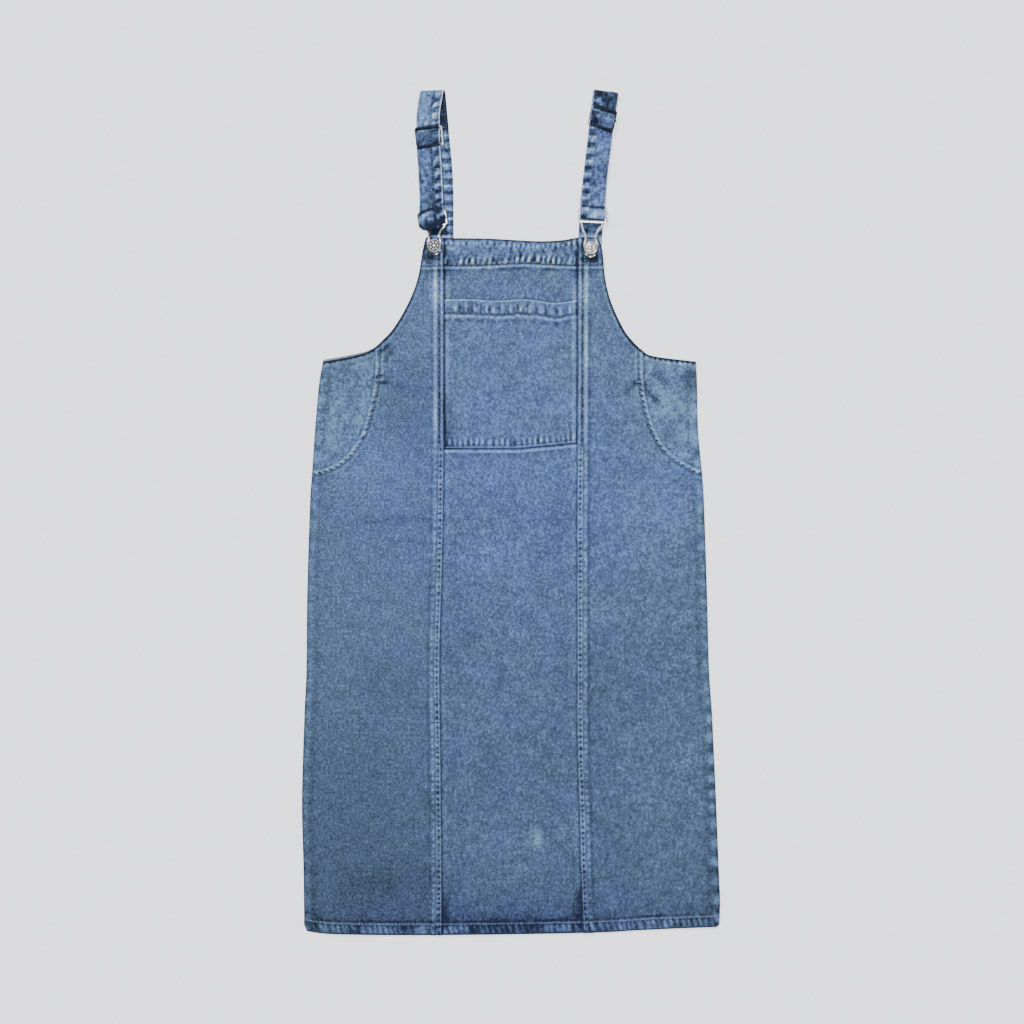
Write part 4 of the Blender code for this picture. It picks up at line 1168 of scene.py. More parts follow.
def triangles_of(ring, cuts, keep, rows, spacing):
    """A triangulated region: `ring` parted along `cuts`, denser by rows beside its sewn lines."""

    def wanted(places):
        places = places[inside(places, ring)]
        return places[keep(places)]

    points, edges = [], []
    for line in [np.vstack([ring, ring[:1]]), *cuts]:
        first = len(points)
        points += line.tolist()
        edges += [(first + i, first + i + 1) for i in range(len(line) - 1)]
    free = wanted(lattice(ring.min(axis=0), ring.max(axis=0), spacing))
    dense = []
    for line, sign, distances in rows:
        reach = max(distances) + 0.55 * spacing
        free = free[nearest(free, line)[0] > reach]
        dense += [shifted(line, sign * d) for d in distances if d > 0]
    points += wanted(np.vstack(dense)).tolist() + free.tolist()
    flat, _, triangles = geometry.delaunay_2d_cdt(
        [Vector(p) for p in points], edges, [], 0, 1e-4, False)[:3]
    flat = np.array([(v.x, v.y) for v in flat])
    triangles = np.array([t for t in triangles if len(t) == 3])
    a, b, c = (flat[triangles[:, k]] for k in range(3))
    turn = (b - a)[:, 0] * (c - a)[:, 1] - (b - a)[:, 1] * (c - a)[:, 0]
    middle = (a + b + c) / 3
    kept = inside(middle, ring) & keep(middle) & (np.abs(turn) > 1e-5)
    triangles, turn = triangles[kept], turn[kept]
    triangles[turn < 0] = triangles[turn < 0][:, ::-1]
    used, again = np.unique(triangles, return_inverse=True)
    return flat[used], again.reshape(triangles.shape)


def outer_edges(triangles):
    """The directed edges that belong to one triangle only."""
    directed = {(int(t[k]), int(t[(k + 1) % 3])) for t in triangles for k in range(3)}
    return [edge for edge in directed if edge[::-1] not in directed]


def rounded_at(distance, radius):
    """How far a rounded edge's face lies below the flat one."""
    t = np.clip(1 - distance / radius, 0, 1)
    return radius * (1 - np.sqrt(1 - t * t))


def cloth_panel(name, node, surface, cuts, keep, rows, look, seed, ring=FRONT, spacing=None):
    """A cloth wall in place of its solid: the same lie, with the sewing's relief on its face."""
    spacing = spacing or settings("cloth").lattice / MM
    flat, triangles = triangles_of(ring, cuts, keep, rows, spacing)
    rims = outer_edges(triangles)
    relief, under = surface.relief(flat), surface.under(flat)
    over = under + surface.thickness(flat) + relief[:, 0] * settings("cloth").pucker
    drop = rounded_at(edge_distance(flat, flat[np.array(rims)]), EDGE_ROUND)
    over = np.maximum(over - drop, under + 0.25 * CLOTH)
    count = len(flat)
    vertices = np.vstack([np.column_stack([flat, under]), np.column_stack([flat, over])])
    faces = (triangles + count).tolist() + triangles[:, ::-1].tolist()
    faces += [(i, j, count + j, count + i) for i, j in sorted(rims)]
    made = add_mesh(name, vertices, faces, [material(look[0], denim, look[1])], 60)
    cloth = np.column_stack([flat * MM, np.full(count, PATTERN_STEP * seed)])
    give(made.data, "cloth", "FLOAT_VECTOR", np.vstack([cloth, cloth]))
    give(made.data, "wash", "FLOAT", np.tile(relief[:, 1], 2))
    return finished(made, None, node)


def edge_distance(points, edges):
    """Each point's distance to the nearest of many short edges, up to a few millimetres."""
    reach = 3.0
    cells = {}
    for k, edge in enumerate(edges):
        (x0, y0), (x1, y1) = np.floor(edge.min(axis=0) / reach), np.floor(edge.max(axis=0) / reach)
        for i in range(int(x0) - 1, int(x1) + 2):
            for j in range(int(y0) - 1, int(y1) + 2):
                cells.setdefault((i, j), []).append(k)
    out = np.full(len(points), 3 * reach)
    place = np.floor(points / reach).astype(int)
    for n, key in enumerate(map(tuple, place)):
        if key in cells:
            a, b = edges[cells[key], 0], edges[cells[key], 1]
            ab = b - a
            t = np.clip(((points[n] - a) * ab).sum(1) / np.maximum((ab * ab).sum(1), 1e-12), 0, 1)
            out[n] = np.linalg.norm(points[n] - a - t[:, None] * ab, axis=1).min()
    return out


def rows_beside(line, sign, *distances):
    return line, sign, distances


def front_rows(side=None):
    """Dense rows along the outline's own edges."""
    rows = [
        rows_beside(HEM_LINE, 1, *RIM, 2.2, 3.6, 5, 6.6, 8.2, 9.8, 11.2, 12.4, 13.4, 14.2,
                    15, 16, 17.4, 20),
        rows_beside(BIB_LINE, -1, *RIM, 2.4, 3.6, 5.0, 6.6, 8.2, 10, 12.5, 15.5),
        rows_beside(BIB_ROW_LINE, 1, 1, 2, 3.2, 4.8, 6.6, 8.6, 10.8, 13.2),
        rows_beside(BIB_ROW_LINE, -1, 0, 0.8, 1.6, 2.6, 4, 5.4, 7, 9.5),
    ]
    if side:
        sign = SIGN[side]
        rows += [rows_beside(ARM[side], -sign, *RIM, 2.2, 3.4, 4.4, 5.2, 6, 7.2, 9, 11.5),
                 rows_beside(SIDE[side], -sign, *RIM, 2.4, 4, 6.5, 9.5, 13)]
    return rows


def lap_rows(side):
    """Dense rows on a piece beside the seam that laps over it."""
    return rows_beside(SEAM[side], -SIGN[side], 0, 0.6, 1.2, 2, 3, 4.4, 6.2, 9)


def build_back_panel():
    arms = []
    for side in SIDES:
        line = ARM[side][ARM[side][:, 1] < BACK_TOP]
        if side == "left":  # its foot lies a little higher than the front's
            start, end = PEEK_RUN
            reach = np.clip((line[:, 0] - start) / (end - start), 0, 1)
            line = line + np.stack([0 * reach, BACK_PEEK * reach], axis=1)
        arms.append(np.vstack([[(x_at(line, BACK_TOP), BACK_TOP)], line]))
    ring = np.vstack([HEM_LINE, SIDE["right"][:0:-1], arms[1][::-1], arms[0], SIDE["left"][1:]])
    rows = [rows_beside(HEM_LINE, 1, *RIM, 2.5, 5, 8, 11, 13, 15, 17.5),
            rows_beside(arms[0], 1, *RIM, 2.5, 5), rows_beside(arms[1], -1, *RIM, 2.5, 5)]
    made = cloth_panel("back_cloth", "back_panel", BACK, [], all_over(True), rows, PLAIN, 1,
                       ring, 9.0)
    made.data.materials.append(material("washed_denim_inside", denim, 0.1, True))
    for face in made.data.polygons:
        face.material_index = int(face.normal.z > 0.1)


def build_centre_panel():
    left, right = shifted(SEAM["left"], -LAP), shifted(SEAM["right"], LAP)

    def keep(p):
        return (p[:, 0] > x_at(left, p[:, 1])) & (p[:, 0] < x_at(right, p[:, 1]))

    rows = front_rows()
    for side in SIDES:
        rows += [lap_rows(side), rows_beside(SEAM[side], SIGN[side], 3, 7)]
    rows += [rows_beside(POCKET_FOOT_LINE, -1, 0, 0.6, 1.3, 2.2, 3, 3.9, 4.8, 5.8, 7, 9),
             rows_beside(POCKET_TOP_LINE, 1, 0, 0.7, 1.6, 3)]
    made = cloth_panel("front_centre_cloth", "front_centre_panel", CENTRE, [left, right], keep,
                       rows, PLAIN, 2)


def build_side_panel(side):
    sign, seam, scoop = SIGN[side], SEAM[side], SCOOP[side]

    def keep(p):
        return (sign * (p[:, 0] - x_at(seam, p[:, 1])) > 0) & ~inside(p, scoop_ring(side, 0))

    rows = front_rows(side) + [
        rows_beside(seam, sign, *RIM, 2.1, 2.9, 3.8, 4.8, 5.8, 6.8, 7.9, 9, 9.9, 10.8, 11.8, 13,
                    14.4, 16, 18.5, 22),
        rows_beside(scoop, -sign, *RIM, 2.1, 3, 4.1, 5.3, 6.4, 7.2, 8, 9, 10.2, 11.6, 13.4,
                    16, 20),
    ]
    made = cloth_panel(f"front_side_cloth_{side}", f"front_side_panel_{side}", SIDE_PANEL[side],
                       [seam, scoop], keep, rows, PLAIN, by_side(side, 3, 4))


def build_pocket_facing(side):
    sign, scoop = SIGN[side], SCOOP[side]
    ring = scoop_ring(side, LAP)
    rows = [rows_beside(ARM[side], -sign, *RIM, 2.2, 3.4, 4.8, 6.6, 9, 12),
            rows_beside(SIDE[side], -sign, *RIM, 2.6, 5, 8, 12),
            rows_beside(scoop, sign, 0, 0.7, 1.4, 2.4, 4, 6, 9)]
    made = cloth_panel(f"pocket_facing_cloth_{side}", f"pocket_facing_{side}", FACING[side],
                       [ring[:len(scoop) + 2]], lambda p: inside(p, ring), rows, FACING_LOOK,
                       by_side(side, 5, 6), spacing=3.5)


def build_bib_pocket():
    inset = LAP - 2
    left, right = shifted(SEAM["left"], -inset), shifted(SEAM["right"], inset)

    def keep(p):
        x, y = p[:, 0], p[:, 1]
        across = (x > x_at(left, y)) & (x < x_at(right, y))
        return across & (y < y_at(POCKET_TOP_LINE, x)) & (y > y_at(POCKET_FOOT_LINE, x))

    rows = [
        rows_beside(POCKET_TOP_LINE, -1, *RIM, 2.2, 3.6, 5.4, 7.4, 9.4, 11.4, 13.4, 15.2, 16.6,
                    17.6, 18.6, 19.8, 21, 22.6, 24.6, 27),
        rows_beside(POCKET_FOOT_LINE, 1, *RIM, 2.2, 3.4, 4.8, 6.4, 8, 10, 12.5, 15.5),
        lap_rows("left"), lap_rows("right"),
    ]
    made = cloth_panel("bib_pocket_cloth", "bib_pocket", BIB_POCKET,
                       [left, right, POCKET_TOP_LINE, POCKET_FOOT_LINE], keep, rows,
                       POCKET_LOOK, 7)


# ------------------------------------------------------------------ straps
def eased(rows, y):
    """Height on a run of Height rows, level at each row and easy between them."""
    for high, low in zip(rows, rows[1:]):
        if high.y >= y >= low.y:
            t = (high.y - y) / (high.y - low.y)
            return high.z + (low.z - high.z) * t * t * (3 - 2 * t)
    return rows[-1].z if y < rows[-1].y else rows[0].z


def run_at(rows, y):
    """x and cross turn of a strap's run at height y."""
    rows = sorted(rows)
    line = smooth_line([(r.y, r.x) for r in rows], 4)
    turn = np.interp(y, [r.y for r in rows], [r.turn for r in rows])
    return np.interp(y, line[:, 0], line[:, 1]), turn


def fold_at(side):
    """y of the middle of a strap's top fold, whose higher corner is at the dress's top."""
    turn = math.radians(STRAP_FRONT[side][0].turn)
    return HALF_LENGTH - STRAP_FOLD_RADIUS - STRAP / 2 - STRAP_WIDTH / 2 * abs(math.sin(turn))


def front_run(side):
    """The strap's heights from its top fold, through the slider, to its turn at the hook."""
    mid, bar, turn = SLIDER_AT[side], UPPER_BAR_AT[side], LOOP_AT[side]
    top, foot = mid + SLIDER_PITCH, mid - SLIDER_PITCH
    return table(
        Height, (fold_at(side), STRAP_Z + 2 * STRAP_FOLD_RADIUS),
        (top + 6, RETURN_Z), (top - 2, RETURN_Z), (mid + 1.5, HUMP_Z), (mid - 1.5, HUMP_Z),
        (foot + 2, MAIN_Z), (bar + 14, MAIN_Z), (bar + 2, OVER_BAR_Z), (turn, OVER_BAR_Z))


def return_run(side):
    """Its heights under the front run, from below the slider's middle bar to the turn."""
    end, bar, turn = SLIDER_AT[side] - 2, UPPER_BAR_AT[side], LOOP_AT[side]
    if side == "left":  # its turn lies on the hook's lower bar
        return table(Height, (end, RETURN_Z), (bar - 3, RETURN_Z),
                     (turn + 6.5, LEFT_TURN_Z), (turn, LEFT_TURN_Z))
    return table(Height, (end, RETURN_Z), (turn, RETURN_Z))


def along_run(rows, places, step=1.5):
    """Places (x, y, z, turn) down a run."""
    out = []
    for high, low in zip(rows, rows[1:]):
        count = max(1, round((high.y - low.y) / step))
        for y in np.linspace(high.y, low.y, count, endpoint=False):
            x, turn = run_at(places, y)
            out.append((x, y, eased(rows, y), turn))
    return out


def strap_path(side):
    """Up from the back panel, over at the shoulder, down through the slider, round the hook."""
    back, front = STRAP_BACK[side], STRAP_FRONT[side]
    fold, turn_y = fold_at(side), LOOP_AT[side]
    path = []  # (x, y, z, turn)
    for y in np.linspace(BACK_TOP + GAP, fold, 140):
        x, turn = run_at(back, y)
        path.append((x, y, STRAP_Z, turn))
    (x0, turn0), (x1, turn1) = run_at(back, fold), run_at(front, fold)
    for k in range(1, 12):
        t, a = k / 12, math.pi * k / 12
        path.append((x0 + (x1 - x0) * t, fold + STRAP_FOLD_RADIUS * math.sin(a),
                     STRAP_Z + STRAP_FOLD_RADIUS * (1 - math.cos(a)), turn0 + (turn1 - turn0) * t))
    over, under = front_run(side), return_run(side)
    path += along_run(over, front)
    x, turn = run_at(front, turn_y)
    middle, radius = (over[-1].z + under[-1].z) / 2, (over[-1].z - under[-1].z) / 2
    for k in range(13):
        a = math.pi * k / 12
        path.append((x, turn_y - radius * math.sin(a), middle + radius * math.cos(a), turn))
    path += along_run(under, front)[::-1]
    return np.array(path)


def strap_relief(side, across, outer):
    """Puckers, wear, and painted shade and highlight of one face of the strap, at one distance from
    its middle line.

    The run on the table shows its inner face; the run over it shows its outer face.
    """
    middle, _, _, length = strap_stations(side)
    y, look = middle[:, 1], STRAP_LOOKS[side]
    patch = uneven(across / 3.4, length / 3.8, look.seed + 3)
    small = uneven(across / 1.9, length / 2.1, look.seed + 4)
    waves = bars(length + 0.3 * across, 15.0, look.seed, 0.5)
    fine = bars(length, 5.4, look.seed + 1)
    if outer > 0:
        if side == "left":
            cross = bars(length, 13.5, look.seed + 8, 0.6)
            wash = left_inner_wash(across, y, cross, fine) + 0.55 * patch + 0.4 * small
        else:
            turn_shade = (1 - rise(y, 371, 385)) * rise(y, 358, 365)
            wash = 0.55 * waves + 0.2 * patch + 1.35 - (2.1 - 0.9 * patch) * turn_shade
        below = middle[:, 2] < TABLE_RUN_Z
        # the inner faces of the runs above the table are painted dark as shade
        return both((0.3 * waves + 0.12 * fine) * below, np.where(below, wash, -1.2))

    to_neck = -SIGN[side] * across
    level = y - math.tan(math.radians(look.lean)) * across  # y along its leaning bars
    edge, pillow = bell(abs(across), STRAP_EDGE_ROW, 1.0), bell(abs(across), 14.3, 1.1)
    half, groove = rise(to_neck, look.half, 7.0), bell(to_neck, look.groove_at, 1.2)
    ring = waves * (1.2 - 0.5 * np.abs(patch))
    slow = uneven(across / 9, length / 26, look.seed + 6)
    hump = bell(level, SLIDER_AT[side], 9.0)
    slots = sum(ramp(abs(level - SLIDER_AT[side] + pitch), 1.3, 3.0)
                for pitch in (-SLIDER_PITCH, SLIDER_PITCH))
    height = (half * (0.5 * ring + 0.12 * fine) - 0.2 * edge - 0.2 * slots
              - look.groove_depth * groove)
    # the stitch groove and the slider's slots are darkened: painted shade
    wash = (0.07 + 0.75 * patch + 0.5 * small + 0.35 * slow
            + half * (1.6 * ring + 0.55 * fine - 0.1) + pillow * (0.15 + 0.4 * fine)
            - 0.4 * edge - look.groove_wash * groove * (1 + 0.7 * fine))
    wash = wash * (1 - 0.4 * hump) - 2.4 * slots + look.hump * hump
    if side == "left":
        return left_turn_wear(height, wash, across, y, level, patch)
    wash += 2.4 * bell(y, 530, 4.5) * bell(across, -7, 6) - 1.15 * rise(y, 521, 524)
    wash -= (1.6 * bell(level, SLIDER_AT[side] - 5, 4) * bell(across, -10, 6)
             + hump * rise(-across, 4, 12))
    cuff = 1 - rise(y, 394, 396)
    wash = wash * (1 - 0.12 * cuff) + cuff * (1.1 - 0.9 * bell(across, -14, 3.5))
    # a dark line over the cuff, and painted shadow under the strap's turn, above the hook's bar
    wash -= 1.8 * bell(y, 396.5, 1.3) + 2.6 * (1 - rise(y, 384, 386.6))
    return both(height, wash)


def left_inner_wash(across, y, cross, fine):
    """Cross puckers, with painted shadow inside the loop at the top and under the hook."""
    shadow_under_hook = bell(y, 367, 6) * (1 - rise(across, 6, 9))
    return (1.25 * cross + 0.6 * fine + 0.3 - 2.6 * rise(y, 494, 503)
            - 0.7 * bell(across, 13.5, 2.2) - 2.8 * shadow_under_hook
            + 0.8 * (1 - rise(y, 358, 362)) * (1 - 0.5 * shadow_under_hook))


def left_turn_wear(height, wash, across, y, level, patch):
    """The left strap's neck edge, worn and painted with a highlight, the crease over its hook in
    painted shade, and the swell below it, painted lit at its upper left and shaded low down and at
    its right.
    """
    wash += 0.55 * rise(y, 500, 506) - 0.25 * (1 - rise(y, 470, 478))
    wash += 0.9 * bell(level, SLIDER_AT["left"] + 8.5, 1.6) * rise(-across, 2, 6)
    wash += (2.6 - 0.8 * wash) * ramp(STRAP_WIDTH / 2 - across, 1.1, 2.4) * rise(y, 384, 388)
    crease = y - 393.5 - 0.28 * across
    swell = 1 - rise(crease, -1.5, 1.0)
    wash += swell * (0.4 * patch + 1.3 * bell(crease, -6, 4) * rise(-across, -6, 6) - 0.1
                     - 1.5 * rise(-crease, 13, 19) - 0.8 * rise(across, 4, 10)
                     + 1.4 * bell(across, 13, 3) * bell(y, 386, 4))
    fold = bell(crease, 0, 1.6)
    return both(height - 0.6 * fold, wash - 2.6 * fold)


@functools.cache
def strap_stations(side):
    """Middle, across and up at each place on the strap's path, and the length so far."""
    path = strap_path(side)
    ways = np.gradient(path[:, :3], axis=0)
    length = np.concatenate([[0], np.cumsum(np.linalg.norm(np.diff(path[:, :3], axis=0), axis=1))])
    turn = np.radians(path[:, 3])
    across = np.stack([np.cos(turn), np.sin(turn), 0 * turn], axis=1)
    ways[:, 0] = 0
    up = np.cross(across, ways)
    up -= across * (up * across).sum(1)[:, None]
    up /= np.linalg.norm(up, axis=1)[:, None]
    return path[:, :3], across, up, length


def strap_face(side, across, outer):
    """Points and wash, with its painted shade and highlight, of one of the strap's faces, at one
    distance from its middle line.
    """
    middle, way, up, _ = strap_stations(side)
    relief = strap_relief(side, float(across), outer)
    lift = outer * (STRAP / 2 + relief[:, 0] * settings("cloth").pucker)
    place = middle + way * across + up * lift[:, None] + strap_bulge(side, across, middle)
    return place, relief[:, 1]


def strap_bulge(side, across, middle):
    """The left strap's turn swells over its hook, and the right one's hangs a little lower."""
    on_top = middle[:, 2] > TABLE_RUN_Z
    low = bell(middle[:, 1], LOOP_AT[side] - 1, 8.0) * on_top
    if side == "right":
        return np.stack([0 * low, low * (-RIGHT_SAG - 0.05 * across), 0 * low], axis=1)
    near = bell(middle[:, 1], LOOP_AT[side] + 6, 13.0) * on_top
    wide, drop, high = LEFT_SWELL
    corner = (across / (STRAP_WIDTH / 2)) ** 2
    sag = drop * corner**2 - 0.3 * drop * (1 - corner) + 0.11 * across
    return np.stack([near * wide * across, low * sag, near * high * (1 - 0.7 * corner)], axis=1)


def build_strap(side):
    w, edge = STRAP_WIDTH / 2, 0.6
    middle, way, _, length = strap_stations(side)
    points, wash, cloth = [], [], []
    for face in (1, -1):
        for across in np.linspace(edge - w, w - edge, 29) * face:
            place, worn = strap_face(side, across, face)
            points.append(place)
            wash.append(worn)
            cloth.append((0 * length + across * face, length, 0 * length + FACE_STEP * face))
        out = w * face  # the rounded edge after each face
        points.append(middle + way * out + strap_bulge(side, out, middle))
        wash.append(worn)
        cloth.append((0 * length + out, length, 0 * length))
    vertices = np.stack(points, axis=1).reshape(-1, 3)
    # the rings run the other way round than a tube's, so each face is turned to look out
    faces = [(face[0], *face[:0:-1]) for face in skin(len(length), len(points))]
    made = add_mesh(f"strap_cloth_{side}", vertices, faces,
                    [material("washed_denim_strap", denim, 0.03, False, 0.0)])
    cloth = np.transpose(cloth, (2, 0, 1)).reshape(-1, 3)
    give(made.data, "cloth", "FLOAT_VECTOR", cloth * MM + (0, 0, 3 + SIGN[side]))
    give(made.data, "wash", "FLOAT", np.stack(wash, axis=1).ravel())
    finished(made, "denim", f"strap_{side}")


# ------------------------------------------------------------------ sewing
def stitch_tree():
    """Geometry nodes: even stitches along each line, with a little unevenness."""
    tree = bpy.data.node_groups.new("stitches", "GeometryNodeTree")
    for name, kind in (("Lines", "Geometry"), ("Pitch", "Float"), ("Length", "Float"),
                       ("Width", "Float"), ("Turn", "Float"), ("Unevenness", "Float"),
                       ("Seed", "Int"), ("Thread", "Material")):
        tree.interface.new_socket(name, in_out="INPUT", socket_type=f"NodeSocket{kind}")
    tree.interface.new_socket("Stitches", in_out="OUTPUT", socket_type="NodeSocketGeometry")

    def add(kind, inputs, output=0, **options):
        node = tree.nodes.new(kind)
        for key, value in options.items():
            setattr(node, key, value)
        for key, value in inputs.items():
            if isinstance(value, bpy.types.NodeSocket):
                tree.links.new(value, node.inputs[key])
            else:
                node.inputs[key].default_value = value
        return node.outputs[output] if node.outputs else None

    given = tree.nodes.new("NodeGroupInput").outputs
    width, uneven_by = given["Width"], given["Unevenness"]
    curve = add("GeometryNodeMeshToCurve", {"Mesh": given["Lines"]})
    spaced = add("GeometryNodeResampleCurve", {0: curve, 3: given["Pitch"]}, mode="LENGTH")
    along = add("GeometryNodeInputTangent", {})
    aligned = add("FunctionNodeAlignRotationToVector", {"Vector": along}, axis="X")
    turn = add("ShaderNodeCombineXYZ", {"Z": given["Turn"]})
    turned_by = add("FunctionNodeRotateRotation", {"Rotation": aligned, "Rotate By": turn},
                    rotation_space="LOCAL")
    shape = add("GeometryNodeMeshUVSphere", {"Segments": 6, "Rings": 5, "Radius": 0.5})
    sizes = add("ShaderNodeCombineXYZ", {"X": given["Length"], "Y": width, "Z": width})
    stitch = add("GeometryNodeTransform", {"Geometry": shape, "Scale": sizes})
    smooth = add("GeometryNodeSetShadeSmooth", {"Geometry": stitch})
    low = add("ShaderNodeMath", {0: 1.0, 1: uneven_by}, operation="SUBTRACT")
    high = add("ShaderNodeMath", {0: 1.0, 1: uneven_by}, operation="ADD")
    size = add("FunctionNodeRandomValue", {2: low, 3: high, "Seed": given["Seed"]}, 1,
               data_type="FLOAT")
    placed = add("GeometryNodeInstanceOnPoints", {
        "Points": spaced, "Instance": smooth, "Rotation": turned_by, "Scale": size})
    real = add("GeometryNodeRealizeInstances", {"Geometry": placed})
    painted = add("GeometryNodeSetMaterial", {"Geometry": real, "Material": given["Thread"]})
    add("NodeGroupOutput", {0: painted})
    return tree


def sew(name, lines, pitch=None, length=None, width=None, turn=0.0, thread_name="thread"):
    """One piece of sewing: stitches along lines of points in millimetres."""
    stitch = settings("stitch")
    vertices, edges = [], []
    for line in lines:
        edges += [(len(vertices) + i, len(vertices) + i + 1) for i in range(len(line) - 1)]
        vertices += [tuple(p) for p in np.asarray(line) * MM]
    mesh = bpy.data.meshes.new(name + "_lines")
    mesh.from_pydata(vertices, edges, [])
    source = put(name + "_lines", mesh)
    tree = bpy.data.node_groups.get("stitches") or stitch_tree()
    modifier = source.modifiers.new("Stitches", "NODES")
    modifier.node_group = tree
    values = {"Pitch": pitch or stitch.pitch, "Length": length or stitch.length,
              "Width": width or stitch.thread, "Turn": turn, "Unevenness": 0.12,
              "Seed": stitch.seed, "Thread": material(thread_name, thread)}
    for item in tree.interface.items_tree:
        if item.name in values:
            modifier[item.identifier] = values[item.name]
    source.update_tag()
    bpy.context.view_layer.update()
    evaluated = source.evaluated_get(bpy.context.evaluated_depsgraph_get())
    made = put(name, bpy.data.meshes.new_from_object(evaluated))
    source.modifiers.remove(modifier)
    bpy.data.objects.remove(source)
    return finished(made, None)


def on_cloth(surface, line, sink=0.12):
    """A flat line laid on a surface's upper face, as thread lies: a little sunk in."""
    return np.column_stack([line, top_of(surface, line) + THREAD_Z - sink])


def part_of(line, low=-1e9, high=1e9, axis=1):
    return line[(line[:, axis] > low) & (line[:, axis] < high)]


def sew_princess_seams():
    for side in SIDES:
        rows = [part_of(shifted(SEAM[side], SIGN[side] * d), *SEAM_SEWN) for d in PRINCESS_ROWS]
        sew(f"princess_stitches_{side}", [on_cloth(SIDE_PANEL[side], row) for row in rows])


def sew_pocket_openings():
    for side in SIDES:
        rows = []
        for distance in SCOOP_ROWS:
            row = shifted(SCOOP[side], -SIGN[side] * distance)
            row = row[inside(row, FRONT)]
            near_arm = nearest(row, ARM[side])[0] > 2.0
            rows.append(on_cloth(SIDE_PANEL[side], row[near_arm]))
        sew(f"scoop_stitches_{side}", rows)


def sew_edges():
    hem = part_of(shifted(HEM_LINE, HEM_ROW), *HEM_SEWN, 0)
    from_left, from_right = (hem[:, 0] - x_at(SEAM[side], hem[:, 1]) for side in SIDES)
    sew("hem_stitches", [
        on_cloth(SIDE_PANEL["left"], hem[from_left < -0.5]),
        on_cloth(CENTRE, hem[(from_left > 1.2) & (from_right < -1.2)]),
        on_cloth(SIDE_PANEL["right"], hem[from_right > 0.5])])
    lines = [on_cloth(CENTRE, part_of(BIB_ROW_LINE, *BAND_SEWN, 0))]
    for side in SIDES:
        sign, panel = SIGN[side], SIDE_PANEL[side]
        ends = sorted((sign * 88.2, x_at(ARM[side], 320.0) - sign * 1.5))
        arm = shifted(ARM[side], -sign * ARMHOLE_ROW)
        past_opening = sign * (arm[:, 0] - x_at(SCOOP[side], np.minimum(arm[:, 1], 222)))
        lines += [on_cloth(panel, part_of(BIB_ROW_LINE, *ends, 0)),
                  on_cloth(panel, part_of(arm[past_opening < -1.5], 0, 352)),
                  on_cloth(FACING[side], arm[past_opening > 1.5])]
    sew("edge_stitches", lines)


def sew_bib_pocket():
    rows = shifted(POCKET_TOP_LINE, -POCKET_HEM_ROW), shifted(POCKET_FOOT_LINE, POCKET_FOOT_ROW)
    sew("bib_pocket_stitches", [on_cloth(BIB_POCKET, part_of(r, *POCKET_SEWN, 0)) for r in rows])


def sew_straps():
    for side in SIDES:
        middle, _, up, _ = strap_stations(side)
        at_turn = (middle[:, 2] > TABLE_RUN_Z) & (middle[:, 1] < UPPER_BAR_AT[side] + 4)
        lines = [
            (strap_face(side, across, outer)[0] + up * outer * 0.05)[2:at_turn.argmax()]
            for across in (-STRAP_EDGE_ROW, STRAP_MIDDLE_ROW * -SIGN[side], STRAP_EDGE_ROW)
            for outer in (1, -1)]
        # their thread is the darkened copy: painted shade in the strap's grooves
        sew(f"strap_stitches_{side}", lines, thread_name="dark_thread")


def sew_bartacks():
    lines = []
    for tack, side in zip(BARTACKS, SIDES):
        steps = np.linspace(-tack.length / 2, tack.length / 2, 9)
        line = np.column_stack(turned(steps, 0, math.radians(tack.angle))) + (tack.x, tack.y)
        lines.append(on_cloth(SIDE_PANEL[side], line, -0.1))
    sew("bartacks", lines, pitch=0.62 * MM, length=2.6 * MM, width=0.8 * MM,
        turn=math.radians(83))


# ------------------------------------------------------------------ metal
def metal_piece(name, node, vertices, faces, tarnish):
    """A metal piece in place of its solid, with how dark it is at each point, from tarnish and
    painted shade.
    """
    made = add_mesh(name, vertices, faces, [material("nickel", nickel_with_painted_shade)], 50)
    give(made.data, "tarnish", "FLOAT", tarnish)
    return finished(made, "metal", node)


def tube(path, radii, sides=20, flat=1.0):
    """A closed bar along a path, a little flat on its faces, with its radius at each place."""
    path = np.asarray(path, float)
    ways = np.gradient(path, axis=0)
    ways /= np.linalg.norm(ways, axis=1)[:, None]
    out = np.cross(ways, (0, 0, 1))
    out /= np.maximum(np.linalg.norm(out, axis=1), 1e-6)[:, None]
    up = np.cross(out, ways)
    turns = [2 * math.pi * k / sides for k in range(sides)]
    ring = [[math.copysign(abs(w) ** BAR_SQUARE, w) for w in (math.cos(a), math.sin(a))]
            for a in turns]
    vertices = [place + radius * (across * u + above * flat * v)
                for place, across, above, radius in zip(
                    path, out, up, np.broadcast_to(radii, len(path)))
                for u, v in ring]
    return vertices, skin(len(path), sides)


def joined(parts):
    """Several pieces' vertices and faces as one."""
    vertices, faces = [], []
    for more, around in parts:
        faces += [tuple(i + len(vertices) for i in face) for face in around]
        vertices += list(more)
    return vertices, faces


def bent(points, radius, steps=6):
    """A line of straight runs with its corners rounded."""
    out = [points[0]]
    for a, b, c in zip(points, points[1:], points[2:]):
        into, away = (a - b).normalized(), (c - b).normalized()
        start, end = b + into * radius, b + away * radius
        for k in range(steps + 1):
            t = k / steps
            out.append(start * (1 - t) ** 2 + b * 2 * t * (1 - t) + end * t * t)
    return out + [points[-1]]


def refined(points, step):
    """Points about `step` apart on straight runs between the given ones."""
    out = []
    for a, b in zip(points, points[1:]):
        count = max(1, round((b - a).length / step))
        out += [a.lerp(b, k / count) for k in range(count)]
    return out + [points[-1]]


